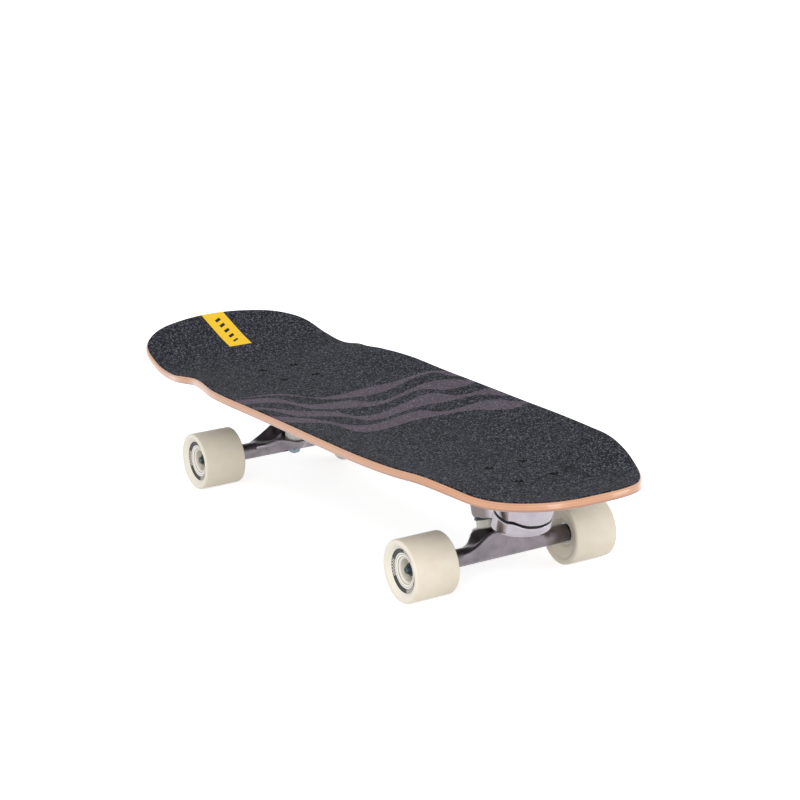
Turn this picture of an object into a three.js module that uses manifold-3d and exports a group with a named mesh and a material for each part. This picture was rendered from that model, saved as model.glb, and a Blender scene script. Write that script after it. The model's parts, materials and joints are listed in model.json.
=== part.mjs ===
// Surf skateboard: a kicked maple deck on a sprung swivel adapter with a truck at the nose,
// and a plain truck on a riser pad at the tail.
// Millimetres, +Z up, +X to the nose, +Y to the rider's left when facing the nose.
// The origin lies on the ground, under the middle of the deck.

import * as THREE from "three";
import { ConvexGeometry } from "three/addons/geometries/ConvexGeometry.js";
import { mergeVertices } from "three/addons/utils/BufferGeometryUtils.js";
import Module from "manifold-3d";

const wasm = await Module();
wasm.setup();

// Fits
const gap = 0.3;
const runningGap = 0.2;
const overrun = 2;
const weldTolerance = 0.0001;

// Deck
const deckLength = 831;
const deckWidth = 260.6;
const deckThickness = 8.8;
const deckEdgeRadius = 2.5;
const spineInset = 105;
const tailKickStart = 154.7;
const tailKickBend = 111.4;
const tailKickRadius = 312;
const noseKickStart = 87.4;
const noseKickRadius = 274;
const railRise = 13.8;
const railCurvePower = 1.8;
const railStartShare = 0.14;
const slopeProbe = 0.5;

// Half outline from tail to nose: shares of the half length and of the half width
const outlineShares = [
  [-1, 0], [-0.989, 0.34], [-0.957, 0.645], [-0.897, 0.845], [-0.8, 0.906], [-0.692, 0.925],
  [-0.62, 0.946], [-0.548, 0.921], [-0.475, 0.949], [-0.367, 1], [-0.126, 0.986], [0.211, 0.971],
  [0.404, 0.96], [0.548, 0.927], [0.693, 0.853], [0.8, 0.752], [0.873, 0.64], [0.934, 0.506],
  [0.975, 0.371], [0.994, 0.198], [1, 0],
];

// How strongly the rails rise along the deck: share of the half length, share of railRise
const railShares = [
  [-1, 0], [-0.79, 0], [-0.7, 0.2], [-0.61, 0.67], [-0.51, 1.05], [-0.37, 0.94], [0, 1],
  [0.45, 1.13], [0.55, 1.28], [0.66, 1.58], [0.74, 1.48], [0.84, 1.06], [1, 1.05],
];

// Rings of the deck and the grip, from the middle line to the edge
const ringShares = [0, railStartShare, 0.4, 0.63, 0.83, 1];
const outlineSteps = 34;
const edgeSteps = 2;

// Grip tape
const gripThickness = 1;
const gripInset = 1.5;

// Deck bolts and nuts
const boltSpacingLong = 53.9;
const boltSpacingWide = 41.3;
const boltRadius = 2.4;
const boltHeadRadius = 4.7;
const boltHeadRim = 0.8;
const boltHeadCone = 2.4;
const boltSocketRadius = 1.7;
const boltSocketDepth = 1.6;
const boltTail = 1.5;
const nutHeight = 4.4;
const nutFlats = 8;
const noseBoltInset = 139.5;
const tailBoltInset = 203.1;
const boltSides = 12;

// Wheels
const wheelDiameter = 66;
const wheelWidth = 51;
const wheelTrack = 194;
const lipRadius = 5;
const lipStep = 2;
const faceRingRadius = 23.3;
const faceRingRecess = 4.9;
const faceInnerRadius = 15.5;
const faceInnerRecess = 5.9;
const boreRadius = 12;
const boreRecess = 8;
const innerFaceRadius = 15.5;
const innerFaceRecess = 5;
const innerBoreRadius = 12.8;
const shoulderRadius = 9;
const wheelSides = 24;
const lipSteps = 2;

// Bearings, axles and axle nuts
const bearingRadius = 11;
const bearingWidth = 7;
const bearingSpacing = 10.5;
const bearingSides = 16;
const axleRadius = 4;
const axleTail = 3.2;
const axleNutFlats = 13;
const axleNutHeight = 7.5;
const axleSides = 12;

// Truck, measured from the middle of its axle; inward is towards the middle of the board
const truckHeight = 65.3;
const hangerWidth = 159;
const tubeRadius = 9.5;
const kingpinInset = 23;
const kingpinRise = 11.2;
const kingpinLean = 15;
const pivotOutset = 17;
const pivotRise = 33;
const ringTopRadius = 17;
const ringBaseRadius = 12;
const ringAbove = 5.5;
const ringBelow = 7;
const ringTopRecess = 1;
const ringWeb = 5.5;
const ringHoleRadius = 7;
const ringRecessRadius = 10.3;
const ringFlareRadius = 14;
const tubeSides = 16;
const ringSides = 20;

// Upright web: share of the hanger's half width, then of the pivot's outset and rise
const ridgeShares = [
  [0.717, 0.324, 0.097], [0.579, 0.441, 0.152], [0.465, 0.482, 0.273], [0.377, 0.459, 0.394],
  [0.314, 0.447, 0.491], [0.252, 0.482, 0.57], [0.189, 0.541, 0.642],
];
// Skirt to the bowl: share of the hanger's half width, then of the kingpin's inset and rise
const flankShares = [
  [0.579, 0.196, 0.25], [0.516, 0.27, 0.393], [0.44, 0.422, 0.446], [0.34, 0.704, 0.741],
  [0.258, 0.922, 1.009],
];
const ridgeRadius = 2.5;
const flankRadius = 4;
const bodySides = 10;

// Kingpin, bushings and washers
const kingpinRadius = 4.76;
const kingpinHeadRadius = 8;
const kingpinHeadHeight = 6;
const kingpinGrip = 13;
const kingpinTail = 1.6;
const kingpinNutFlats = 14.2;
const kingpinNutHeight = 6.5;
const bushingRadius = 12.2;
const topBushingHeight = 10.2;
const lowBushingHeight = 6;
const lowBushingRadius = 8.6;
const lowBushingEndRadius = 7.6;
const bushingChamfer = 0.8;
const washerThickness = 2;
const washerRadius = 12.6;
const washerLipRadius = 13.7;
const washerLip = 1.4;
const lowWasherThickness = 1.6;
const lowWasherRadius = 7.6;
const stackSides = 16;

// Pivot nose and cup
const pivotRadius = 6;
const pivotNeck = 9;
const pivotRootRadius = 7;
const pivotRootLength = 16;
const cupWall = 2.6;
const cupFloor = 1.5;
const cupMouth = 2;
const cupFlare = 0.4;
const pivotSides = 16;
const pivotSteps = 3;

// Seats that the trucks hang from
const seatBossRadius = 15;
const seatBossHeight = 17;
const seatBossChamfer = 2.5;
const cupBossWall = 4;
const cupBossFloor = 2.5;
const cupBossTipWall = 1.5;
const coreHalfWidth = 13;
const coreRise = 32.5;
const bossSides = 16;

// Baseplate and riser pad of the tail truck
const plateThickness = 7;
const plateMarginLong = 13;
const plateMarginWide = 7.5;
const plateCorner = 9;
const riserThickness = 16;
const riserMargin = 1.5;
const axleOutset = 16.1;
const bossFootInset = 10;
const cornerSteps = 2;

// Swivel adapter of the nose truck
const flangeThickness = 8;
const swivelLean = 16;
const swivelOutset = 4;
const axleTrail = 41.7;
const seamRise = 50.3;
const seamGap = 2.4;
const seamBump = 2;
const bumpAngle = 55;
const bumpNearWidth = 19;
const bumpFarWidth = 8.5;
const rimWidth = 5;
const drumRadius = 30.5;
const drumTopRadius = 33.5;
const drumShoulder = 2.5;
const drumNutClearance = 0.5;
const neckRadius = 19.5;
const armBottomRise = 31;
const armRoundRadius = 4.5;
const beamBottomRise = 40;
const armTopRise = 49;
const armRootInset = 16;
const armRootHalfWidth = 18;
const springInnerRadius = 15.5;
const springOuterRadius = 23;
const springPocketUp = 7;
const springPocketDown = 6;
const swivelBoltRadius = 8;
const swivelHeadRadius = 12;
const swivelHeadHeight = 5;
const swivelHeadDepth = 10;
const swivelGrip = 16;
const thrustRadius = 13;
const drumSides = 48;
const swivelSides = 20;

// Heights
const wheelRadius = wheelDiameter / 2;
const plateTop = wheelRadius + truckHeight;
const deckUnderside = plateTop + gap + riserThickness + gap;
const deckTop = deckUnderside + deckThickness;

// Places along the board
const halfLength = deckLength / 2;
const halfWidth = deckWidth / 2;
const noseBoltX = halfLength - noseBoltInset;
const tailBoltX = tailBoltInset - halfLength;
const tailAxleX = tailBoltX - axleOutset;
const swivelX = noseBoltX + swivelOutset;
const noseAxleX = swivelX - axleTrail;

// Heights in a truck, from its axle
const plateUnderside = truckHeight - plateThickness;
const plateMiddle = truckHeight - plateThickness / 2;
const flangeTop = deckUnderside - gap - wheelRadius;
const flangeUnderside = flangeTop - flangeThickness;
const flangeMiddle = flangeTop - flangeThickness / 2;
const drumTop = flangeUnderside - gap - nutHeight - boltTail - drumNutClearance;

// Places along the kingpin, from the middle of the hanger's ring, upwards
const topSeat = ringAbove - ringTopRecess;
const topBushingBase = topSeat + gap;
const topWasherBase = topBushingBase + topBushingHeight + gap;
const bossSeat = topWasherBase + washerThickness + gap;
const lowSeat = topSeat - ringWeb;
const lowBushingTop = lowSeat - gap;
const lowWasherTop = lowBushingTop - lowBushingHeight - gap;
const kingpinNutTop = lowWasherTop - lowWasherThickness - gap;
const kingpinEnd = kingpinNutTop - kingpinNutHeight - kingpinTail;
const kingpinHeadBase = bossSeat + kingpinGrip;

// Places along the steering axis, from the middle of the pivot's ball, towards the cup's floor
const cupRadius = pivotRadius + gap + cupWall;
const cupEnd = pivotRadius + gap + cupFloor;
const pivotRootEnd = -pivotNeck - pivotRootLength;

// Places along an axle, from the middle of the truck, outwards
const innerBearingY = hangerWidth / 2 + gap;
const outerBearingY = innerBearingY + bearingWidth + bearingSpacing;
const axleNutY = outerBearingY + bearingWidth + gap;
const axleEndY = axleNutY + axleNutHeight + axleTail;
const wheelY = wheelTrack / 2;

const degree = Math.PI / 180;
const xAxis = new THREE.Vector3(1, 0, 0);
const yAxis = new THREE.Vector3(0, 1, 0);
const zAxis = new THREE.Vector3(0, 0, 1);

// Axes in a truck: its own X points inwards
const kingpinAxis = new THREE.Vector3(Math.sin(kingpinLean * degree), 0, Math.cos(kingpinLean * degree));
const ringCentre = new THREE.Vector3(kingpinInset, 0, kingpinRise);
const pivotPoint = new THREE.Vector3(-pivotOutset, 0, pivotRise);
const bushingCentre = onKingpin((topSeat + lowSeat) / 2);
const steerAxis = pivotPoint.clone().sub(bushingCentre).normalize();
const seamCentre = new THREE.Vector3(-axleTrail, 0, seamRise);
const swivelAxis = new THREE.Vector3(-Math.sin(swivelLean * degree), 0, Math.cos(swivelLean * degree));

const materials = {
  grip: finish(0x2b2b30, 0.95, 0),
  maple: finish(0xc98a5c, 0.5, 0),
  blackSteel: finish(0x1c1c1e, 0.45, 0.8),
  zincSteel: finish(0x9fb0b8, 0.3, 0.9),
  castAluminium: finish(0x8b888b, 0.42, 0.9),
  polishedAluminium: finish(0xb9b5ba, 0.22, 1),
  bushing: finish(0xdfe0cd, 0.4, 0),
  urethane: finish(0xe9e0cd, 0.45, 0),
  blackRubber: finish(0x202022, 0.8, 0),
  springSteel: finish(0x55575a, 0.4, 0.9),
};

function finish(color, roughness, metalness) {
  return new THREE.MeshStandardMaterial({ color, roughness, metalness });
}

// Mesh and solid helpers

function weld(geometry) {
  const bare = geometry.clone();
  bare.deleteAttribute("normal");
  bare.deleteAttribute("uv");
  const merged = mergeVertices(bare, weldTolerance);
  const index = merged.index.array;
  const kept = [];
  for (let i = 0; i < index.length; i += 3) {
    const [a, b, c] = [index[i], index[i + 1], index[i + 2]];
    if (a !== b && b !== c && c !== a) kept.push(a, b, c);
  }
  merged.setIndex(kept);
  return facingOut(merged);
}

function facingOut(geometry) {
  const position = geometry.attributes.position;
  const index = geometry.index.array;
  const [a, b, c] = [new THREE.Vector3(), new THREE.Vector3(), new THREE.Vector3()];
  let volume = 0;
  for (let i = 0; i < index.length; i += 3) {
    a.fromBufferAttribute(position, index[i]);
    b.fromBufferAttribute(position, index[i + 1]);
    c.fromBufferAttribute(position, index[i + 2]);
    volume += a.dot(b.cross(c));
  }
  if (volume < 0) geometry.setIndex(Array.from(index).reverse());
  return geometry;
}

function solid(geometry) {
  const welded = weld(geometry);
  return new wasm.Manifold(new wasm.Mesh({
    numProp: 3,
    vertProperties: new Float32Array(welded.attributes.position.array),
    triVerts: new Uint32Array(welded.index.array),
  }));
}

function join(...geometries) {
  return fromSolid(geometries.map(solid).reduce((sum, next) => sum.add(next)));
}

function cut(geometry, ...tools) {
  return fromSolid(tools.map(solid).reduce((rest, tool) => rest.subtract(tool), solid(geometry)));
}

function fromSolid(body) {
  const mesh = body.getMesh();
  const geometry = new THREE.BufferGeometry();
  geometry.setAttribute("position", new THREE.BufferAttribute(new Float32Array(mesh.vertProperties), 3));
  geometry.setIndex(Array.from(mesh.triVerts));
  return geometry;
}

function named(name, geometry, material) {
  const mesh = new THREE.Mesh(geometry.index ? geometry : weld(geometry), material);
  mesh.name = name;
  return mesh;
}

// A shape made about Z, moved so that its Z runs along a direction from an origin
function along(geometry, origin, direction) {
  const turn = new THREE.Quaternion().setFromUnitVectors(zAxis, direction);
  return geometry.clone().applyQuaternion(turn).translate(origin.x, origin.y, origin.z);
}

// A solid of revolution about Z from [radius, height] pairs
function revolve(profile, sides) {
  const points = profile.map(([radius, height]) => new THREE.Vector2(radius, height));
  const onAxis = profile[0][0] === 0;
  if (!onAxis) points.push(points[0].clone());
  return weld(new THREE.LatheGeometry(points, sides).rotateX(Math.PI / 2));
}

function rod(radius, base, top, sides) {
  return revolve([[0, base], [radius, base], [radius, top], [0, top]], sides);
}

function sleeve(innerRadius, outerRadius, base, top, sides) {
  return revolve([[innerRadius, base], [outerRadius, base], [outerRadius, top], [innerRadius, top]], sides);
}

function prism(shape, base, height) {
  const settings = { depth: height, bevelEnabled: false, curveSegments: cornerSteps };
  return weld(new THREE.ExtrudeGeometry(shape, settings).translate(0, 0, base));
}

function hexNut(flats, holeRadius, base, height) {
  const corner = flats / 2 / Math.cos(Math.PI / 6);
  const hole = rod(holeRadius, base - overrun, base + height + overrun, boltSides);
  return cut(rod(corner, base, base + height, 6), hole);
}

function roundedRectangle(lengthX, widthY, corner) {
  const [x, y] = [lengthX / 2, widthY / 2];
  const shape = new THREE.Shape();
  shape.moveTo(x, corner - y);
  shape.lineTo(x, y - corner);
  shape.absarc(x - corner, y - corner, corner, 0, Math.PI / 2);
  shape.lineTo(corner - x, y);
  shape.absarc(corner - x, y - corner, corner, Math.PI / 2, Math.PI);
  shape.lineTo(-x, corner - y);
  shape.absarc(corner - x, corner - y, corner, Math.PI, Math.PI * 1.5);
  shape.lineTo(x - corner, -y);
  shape.absarc(x - corner, corner - y, corner, Math.PI * 1.5, Math.PI * 2);
  return shape;
}

// A closed skin over rings of points, whose first and last rings shrink to a line or a point
function skin(rings) {
  const count = rings[0].length;
  const position = [];
  for (const ring of rings) {
    for (const point of ring) position.push(point.x, point.y, point.z);
  }
  const index = [];
  for (let band = 0; band < rings.length - 1; band += 1) {
    const here = band * count;
    const next = here + count;
    for (let i = 0; i < count; i += 1) {
      const j = (i + 1) % count;
      index.push(here + i, here + j, next + j, here + i, next + j, next + i);
    }
  }
  const geometry = new THREE.BufferGeometry();
  geometry.setAttribute("position", new THREE.Float32BufferAttribute(position, 3));
  geometry.setIndex(index);
  return weld(geometry);
}

function circle(centre, radius, direction, sides) {
  const turn = new THREE.Quaternion().setFromUnitVectors(zAxis, direction);
  const points = [];
  for (let i = 0; i < sides; i += 1) {
    const angle = i / sides * Math.PI * 2;
    const point = new THREE.Vector3(radius * Math.cos(angle), radius * Math.sin(angle), 0);
    points.push(point.applyQuaternion(turn).add(centre));
  }
  return points;
}

function hull(...circles) {
  return weld(new ConvexGeometry(circles.flat()));
}

// Deck surface

function tableReader(table) {
  const places = table.map(([place]) => place);
  const values = table.map(([, value]) => value);
  const interpolant = new THREE.CubicInterpolant(places, values, 1, new Float32Array(1));
  return (place) => interpolant.evaluate(THREE.MathUtils.clamp(place, -1, 1))[0];
}

// A round bend that runs out into a straight slope
function kick(distance, radius, bendLength) {
  if (distance <= 0) return 0;
  const bend = Math.min(distance, bendLength);
  return (bend * bend / 2 + (distance - bend) * bend) / radius;
}

function surfaceHeight(x, y, railShareAt) {
  const tail = kick(tailKickStart - halfLength - x, tailKickRadius, tailKickBend);
  const nose = kick(x - halfLength + noseKickStart, noseKickRadius, noseKickStart);
  const side = Math.max(0, Math.abs(y) / halfWidth - railStartShare) / (1 - railStartShare);
  const rail = railRise * railShareAt(x / halfLength) * side ** railCurvePower;
  return deckTop + tail + nose + rail;
}

// A point of the deck's surface over a plan point, moved along the surface's normal
function surfacePoint(plan, lift, railShareAt) {
  const heightAt = (x, y) => surfaceHeight(x, y, railShareAt);
  const stepX = heightAt(plan.x + slopeProbe, plan.y) - heightAt(plan.x - slopeProbe, plan.y);
  const stepY = heightAt(plan.x, plan.y + slopeProbe) - heightAt(plan.x, plan.y - slopeProbe);
  const normal = new THREE.Vector3(-stepX, -stepY, 2 * slopeProbe).normalize();
  return new THREE.Vector3(plan.x, plan.y, heightAt(plan.x, plan.y)).addScaledVector(normal, lift);
}

// The outline's plan points with their outward normals: tail to nose on the left, back on the right
function outline() {
  const left = outlineShares.map(([x, y]) => new THREE.Vector3(x * halfLength, y * halfWidth, 0));
  const right = left.slice(1, -1).reverse().map((point) => new THREE.Vector3(point.x, -point.y, 0));
  const curve = new THREE.CatmullRomCurve3([...left, ...right], true, "centripetal");
  const half = [];
  for (let i = 0; i <= outlineSteps; i += 1) {
    const even = i / outlineSteps;
    const crowdedAtEnds = (1 - Math.cos(Math.PI * even)) / 2;
    const place = (even + crowdedAtEnds) / 4;
    const tangent = curve.getTangent(place);
    half.push({ point: curve.getPoint(place), normal: new THREE.Vector3(-tangent.y, tangent.x, 0) });
  }
  half[0].normal.copy(xAxis).negate();
  half[outlineSteps].normal.copy(xAxis);
  const mirrored = half.slice(1, -1).reverse().map(({ point, normal }) => ({
    point: new THREE.Vector3(point.x, -point.y, 0),
    normal: new THREE.Vector3(normal.x, -normal.y, 0),
  }));
  return [...half, ...mirrored];
}

// Makes rings of the deck's skin: share 1 lies on the inset outline and share 0 on the middle line
function ringMaker() {
  const points = outline();
  const spineEnd = halfLength - spineInset;
  const railShareAt = tableReader(railShares);
  return (inset, share, lift) => points.map(({ point, normal }) => {
    const edge = point.clone().addScaledVector(normal, -inset);
    const spine = new THREE.Vector3(THREE.MathUtils.clamp(edge.x, -spineEnd, spineEnd), 0, 0);
    return surfacePoint(spine.lerp(edge, share), lift, railShareAt);
  });
}

// Insets and depths round the deck's edge, from its top surface to its underside
function edgeSteppings() {
  const upper = [];
  for (let i = 1; i <= edgeSteps; i += 1) {
    const angle = Math.PI / 2 * i / edgeSteps;
    upper.push([deckEdgeRadius * (1 - Math.sin(angle)), deckEdgeRadius * (1 - Math.cos(angle))]);
  }
  const lower = upper.map(([inset, depth]) => [inset, deckThickness - depth]).reverse();
  return [...upper, ...lower];
}

function deck(surfaceRing) {
  const top = ringShares.map((share) => surfaceRing(deckEdgeRadius, share, 0));
  const edge = edgeSteppings().map(([inset, depth]) => surfaceRing(inset, 1, -depth));
  const base = ringShares.map((share) => surfaceRing(deckEdgeRadius, share, -deckThickness)).reverse();
  const holes = boltPlaces().map((place) => boltHole().translate(place.x, place.y, deckTop));
  return cut(skin([...top, ...edge, ...base]), ...holes);
}

// The underside follows the deck's own rings, so that its facets lie along the deck's
function gripTape(surfaceRing) {
  const base = ringShares.map((share) => surfaceRing(deckEdgeRadius, share, gap));
  const rim = surfaceRing(gripInset, 1, gap);
  const top = ringShares.map((share) => surfaceRing(gripInset, share, gap + gripThickness)).reverse();
  const hole = rod(boltHeadRadius + gap, -overrun, gap + gripThickness + overrun, boltSides);
  const holes = boltPlaces().map((place) => hole.clone().translate(place.x, place.y, deckTop));
  return cut(skin([...base, rim, ...top]), ...holes);
}

// Deck bolts and nuts

function boltCorners(middleX) {
  const corners = [];
  for (const lengthwise of [-1, 1]) {
    for (const sideways of [-1, 1]) {
      const [x, y] = [lengthwise * boltSpacingLong / 2, sideways * boltSpacingWide / 2];
      corners.push(new THREE.Vector3(middleX + x, y, 0));
    }
  }
  return corners;
}

function boltPlaces() {
  return [...boltCorners(noseBoltX), ...boltCorners(tailBoltX)];
}

// The countersunk hole, from the deck's top down
function boltHole() {
  return revolve([
    [0, -deckThickness - overrun],
    [boltRadius + gap, -deckThickness - overrun],
    [boltRadius + gap, -boltHeadRim - boltHeadCone - gap],
    [boltHeadRadius + gap, -boltHeadRim - gap],
    [boltHeadRadius + gap, overrun],
    [0, overrun],
  ], boltSides);
}

function bolt(length) {
  return revolve([
    [0, -length],
    [boltRadius, -length],
    [boltRadius, -boltHeadRim - boltHeadCone],
    [boltHeadRadius, -boltHeadRim],
    [boltHeadRadius, 0],
    [boltSocketRadius, 0],
    [boltSocketRadius, -boltSocketDepth],
    [0, -boltSocketDepth],
  ], boltSides);
}

// Four bolts, and the nuts that press on a face at the given height
function fasteners(prefix, middleX, pressedFace) {
  const nutBase = pressedFace - gap - nutHeight;
  const boltShape = bolt(deckTop - nutBase + boltTail);
  const nutShape = hexNut(nutFlats, boltRadius + gap, nutBase, nutHeight);
  return boltCorners(middleX).flatMap(({ x, y }, i) => [
    named(`${prefix}_deck_bolt_${i + 1}`, boltShape.clone().translate(x, y, deckTop), materials.blackSteel),
    named(`${prefix}_deck_nut_${i + 1}`, nutShape.clone().translate(x, y, 0), materials.zincSteel),
  ]);
}

// Wheels, bearings and axle nuts, along Z from the middle of the truck outwards

// The rounded lip of the tread, from the face to the tread on one side
function lip(side) {
  const points = [];
  for (let i = 0; i <= lipSteps; i += 1) {
    const angle = Math.PI / 2 * i / lipSteps;
    const radius = wheelRadius - lipRadius + lipRadius * Math.sin(angle);
    points.push([radius, side * (wheelWidth / 2 - lipRadius + lipRadius * Math.cos(angle))]);
  }
  return points;
}

function wheel() {
  const half = wheelWidth / 2;
  const innerSeat = innerBearingY - wheelY;
  const outerSeat = outerBearingY - wheelY;
  const seatRadius = bearingRadius + gap;
  return revolve([
    [shoulderRadius, innerSeat + bearingWidth + gap],
    [shoulderRadius, outerSeat - gap],
    [seatRadius, outerSeat - gap],
    [seatRadius, outerSeat + bearingWidth + gap],
    [boreRadius, outerSeat + bearingWidth + gap],
    [boreRadius, half - boreRecess],
    [faceInnerRadius, half - faceInnerRecess],
    [faceRingRadius, half - faceRingRecess],
    [faceRingRadius + lipStep, half - lipStep],
    ...lip(1),
    ...lip(-1).reverse(),
    [faceRingRadius + lipStep, lipStep - half],
    [innerFaceRadius, innerFaceRecess - half],
    [innerBoreRadius, innerSeat - gap],
    [seatRadius, innerSeat - gap],
    [seatRadius, innerSeat + bearingWidth + gap],
  ], wheelSides).translate(0, 0, wheelY);
}

function bearing(base) {
  return sleeve(axleRadius + runningGap, bearingRadius, base, base + bearingWidth, bearingSides);
}

function wheelSet(prefix, axleX) {
  const centre = new THREE.Vector3(axleX, 0, wheelRadius);
  const pieces = [
    ["wheel", wheel(), materials.urethane],
    ["inner_bearing", bearing(innerBearingY), materials.zincSteel],
    ["outer_bearing", bearing(outerBearingY), materials.zincSteel],
    ["axle_nut", hexNut(axleNutFlats, axleRadius + gap, axleNutY, axleNutHeight), materials.zincSteel],
  ];
  const sides = { left: yAxis, right: yAxis.clone().negate() };
  return Object.entries(sides).flatMap(([side, outwards]) => pieces.map(([piece, shape, material]) =>
    named(`${prefix}_${side}_${piece}`, along(shape, centre, outwards), material)));
}

// Hanger: a tube for the axle, a webbed body, a bowl round the kingpin and the pivot nose

function onKingpin(distance) {
  return ringCentre.clone().addScaledVector(kingpinAxis, distance);
}

function onSteerAxis(distance) {
  return pivotPoint.clone().addScaledVector(steerAxis, distance);
}

function tubeCircle(y) {
  return circle(new THREE.Vector3(0, y, 0), tubeRadius, yAxis, bodySides);
}

function ridgeCircles([y, x, z], side) {
  const ridge = new THREE.Vector3(-x * pivotOutset, side * y * hangerWidth / 2, z * pivotRise);
  return [...tubeCircle(ridge.y), ...circle(ridge, ridgeRadius, yAxis, bodySides)];
}

function flankCircles([y, x, z], side) {
  const flank = new THREE.Vector3(x * kingpinInset, side * y * hangerWidth / 2, z * kingpinRise);
  return [...tubeCircle(flank.y), ...circle(flank, flankRadius, yAxis, bodySides)];
}

// A chain of hulls from place to place on both sides, with one across the middle
function chain(places, circles) {
  const links = [hull(circles(places.at(-1), -1), circles(places.at(-1), 1))];
  for (const side of [-1, 1]) {
    for (let i = 1; i < places.length; i += 1) {
      links.push(hull(circles(places[i - 1], side), circles(places[i], side)));
    }
  }
  return links;
}

// The bowl round the kingpin, with its foot on the skirts
function kingpinRing() {
  const foot = flankShares.at(-1);
  return hull(
    circle(onKingpin(ringAbove), ringTopRadius, kingpinAxis, ringSides),
    circle(onKingpin(-ringBelow), ringBaseRadius, kingpinAxis, ringSides),
    flankCircles(foot, 1),
    flankCircles(foot, -1),
  );
}

// Quarter round from the side of a ball to its tip, as [radius, height] pairs
function ballPoints(radius) {
  const points = [];
  for (let i = 0; i < pivotSteps; i += 1) {
    const angle = Math.PI / 2 * i / pivotSteps;
    points.push([radius * Math.cos(angle), radius * Math.sin(angle)]);
  }
  return [...points, [0, radius]];
}

function pivotNose() {
  const shape = revolve([
    [0, pivotRootEnd],
    [pivotRootRadius, pivotRootEnd],
    [pivotRootRadius, -pivotNeck],
    ...ballPoints(pivotRadius),
  ], pivotSides);
  return along(shape, pivotPoint, steerAxis);
}

// The recess under the bowl widens downwards, so that the nut clears it when the hanger tilts
function recess() {
  const base = -ringBelow - ringBaseRadius;
  return revolve([
    [0, base],
    [ringFlareRadius, base],
    [ringRecessRadius, lowWasherTop],
    [ringRecessRadius, lowSeat],
    [0, lowSeat],
  ], ringSides);
}

function hanger() {
  const half = hangerWidth / 2;
  const tube = along(rod(tubeRadius, -half, half, tubeSides), new THREE.Vector3(), yAxis);
  const webs = [...chain(ridgeShares, ridgeCircles), ...chain(flankShares, flankCircles)];
  const body = join(tube, ...webs, kingpinRing(), pivotNose());
  const onAxis = (shape) => along(shape, ringCentre, kingpinAxis);
  return cut(
    body,
    onAxis(rod(bushingRadius + gap, topSeat, ringAbove + overrun, ringSides)),
    onAxis(rod(ringHoleRadius, lowSeat - overrun, topSeat + overrun, ringSides)),
    onAxis(recess()),
    along(rod(axleRadius + gap, -half - overrun, half + overrun, axleSides), new THREE.Vector3(), yAxis),
  );
}

function axle() {
  return along(rod(axleRadius, -axleEndY, axleEndY, axleSides), new THREE.Vector3(), yAxis);
}

// Kingpin, bushings and washers, about Z from the middle of the hanger's ring

function kingpin() {
  return revolve([
    [0, kingpinEnd],
    [kingpinRadius, kingpinEnd],
    [kingpinRadius, kingpinHeadBase],
    [kingpinHeadRadius, kingpinHeadBase],
    [kingpinHeadRadius, kingpinHeadBase + kingpinHeadHeight],
    [0, kingpinHeadBase + kingpinHeadHeight],
  ], stackSides);
}

function topBushing() {
  const top = topBushingBase + topBushingHeight;
  return revolve([
    [kingpinRadius + gap, topBushingBase],
    [bushingRadius - bushingChamfer, topBushingBase],
    [bushingRadius, topBushingBase + bushingChamfer],
    [bushingRadius, top - bushingChamfer],
    [bushingRadius - bushingChamfer, top],
    [kingpinRadius + gap, top],
  ], stackSides);
}

function lowBushing() {
  const base = lowBushingTop - lowBushingHeight;
  return revolve([
    [kingpinRadius + gap, base],
    [lowBushingEndRadius, base],
    [lowBushingRadius, lowBushingTop - bushingChamfer],
    [lowBushingRadius - bushingChamfer, lowBushingTop],
    [kingpinRadius + gap, lowBushingTop],
  ], stackSides);
}

// The cupped washer reaches down round the top bushing
function topWasher() {
  return revolve([
    [kingpinRadius + gap, topWasherBase],
    [bushingRadius + gap, topWasherBase],
    [bushingRadius + gap, topWasherBase - washerLip],
    [washerLipRadius, topWasherBase - washerLip],
    [washerRadius, topWasherBase + washerThickness],
    [kingpinRadius + gap, topWasherBase + washerThickness],
  ], stackSides);
}

function lowWasher() {
  const base = lowWasherTop - lowWasherThickness;
  return sleeve(kingpinRadius + gap, lowWasherRadius, base, lowWasherTop, stackSides);
}

function kingpinNut() {
  return hexNut(kingpinNutFlats, kingpinRadius + gap, kingpinNutTop - kingpinNutHeight, kingpinNutHeight);
}

function pivotCup() {
  const shape = revolve([
    [0, cupEnd],
    [cupRadius, cupEnd],
    [cupRadius, -cupMouth],
    [pivotRadius + gap + cupFlare, -cupMouth],
    ...ballPoints(pivotRadius + gap),
  ], pivotSides);
  return along(shape, pivotPoint, steerAxis);
}

// What both trucks have in common, in the truck's own frame
function truckPieces(prefix) {
  const stack = [
    ["kingpin", kingpin(), materials.zincSteel],
    ["kingpin_nut", kingpinNut(), materials.zincSteel],
    ["top_bushing", topBushing(), materials.bushing],
    ["low_bushing", lowBushing(), materials.bushing],
    ["top_washer", topWasher(), materials.zincSteel],
    ["low_washer", lowWasher(), materials.zincSteel],
  ];
  return [
    ...stack.map(([piece, shape, material]) =>
      named(`${prefix}_${piece}`, along(shape, ringCentre, kingpinAxis), material)),
    named(`${prefix}_pivot_cup`, pivotCup(), materials.blackRubber),
    named(`${prefix}_hanger`, hanger(), materials.castAluminium),
    named(`${prefix}_axle`, axle(), materials.zincSteel),
  ];
}

// Seats for the kingpin and the pivot cup, in the truck's own frame

// The boss round the pivot cup narrows towards its closed end
function cupBossCircles() {
  const pocketRadius = cupRadius + gap;
  return [
    ...circle(onSteerAxis(-cupMouth), pocketRadius + cupBossWall, steerAxis, bossSides),
    ...circle(onSteerAxis(cupEnd + gap + cupBossFloor), pocketRadius + cupBossTipWall, steerAxis, bossSides),
  ];
}

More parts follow.
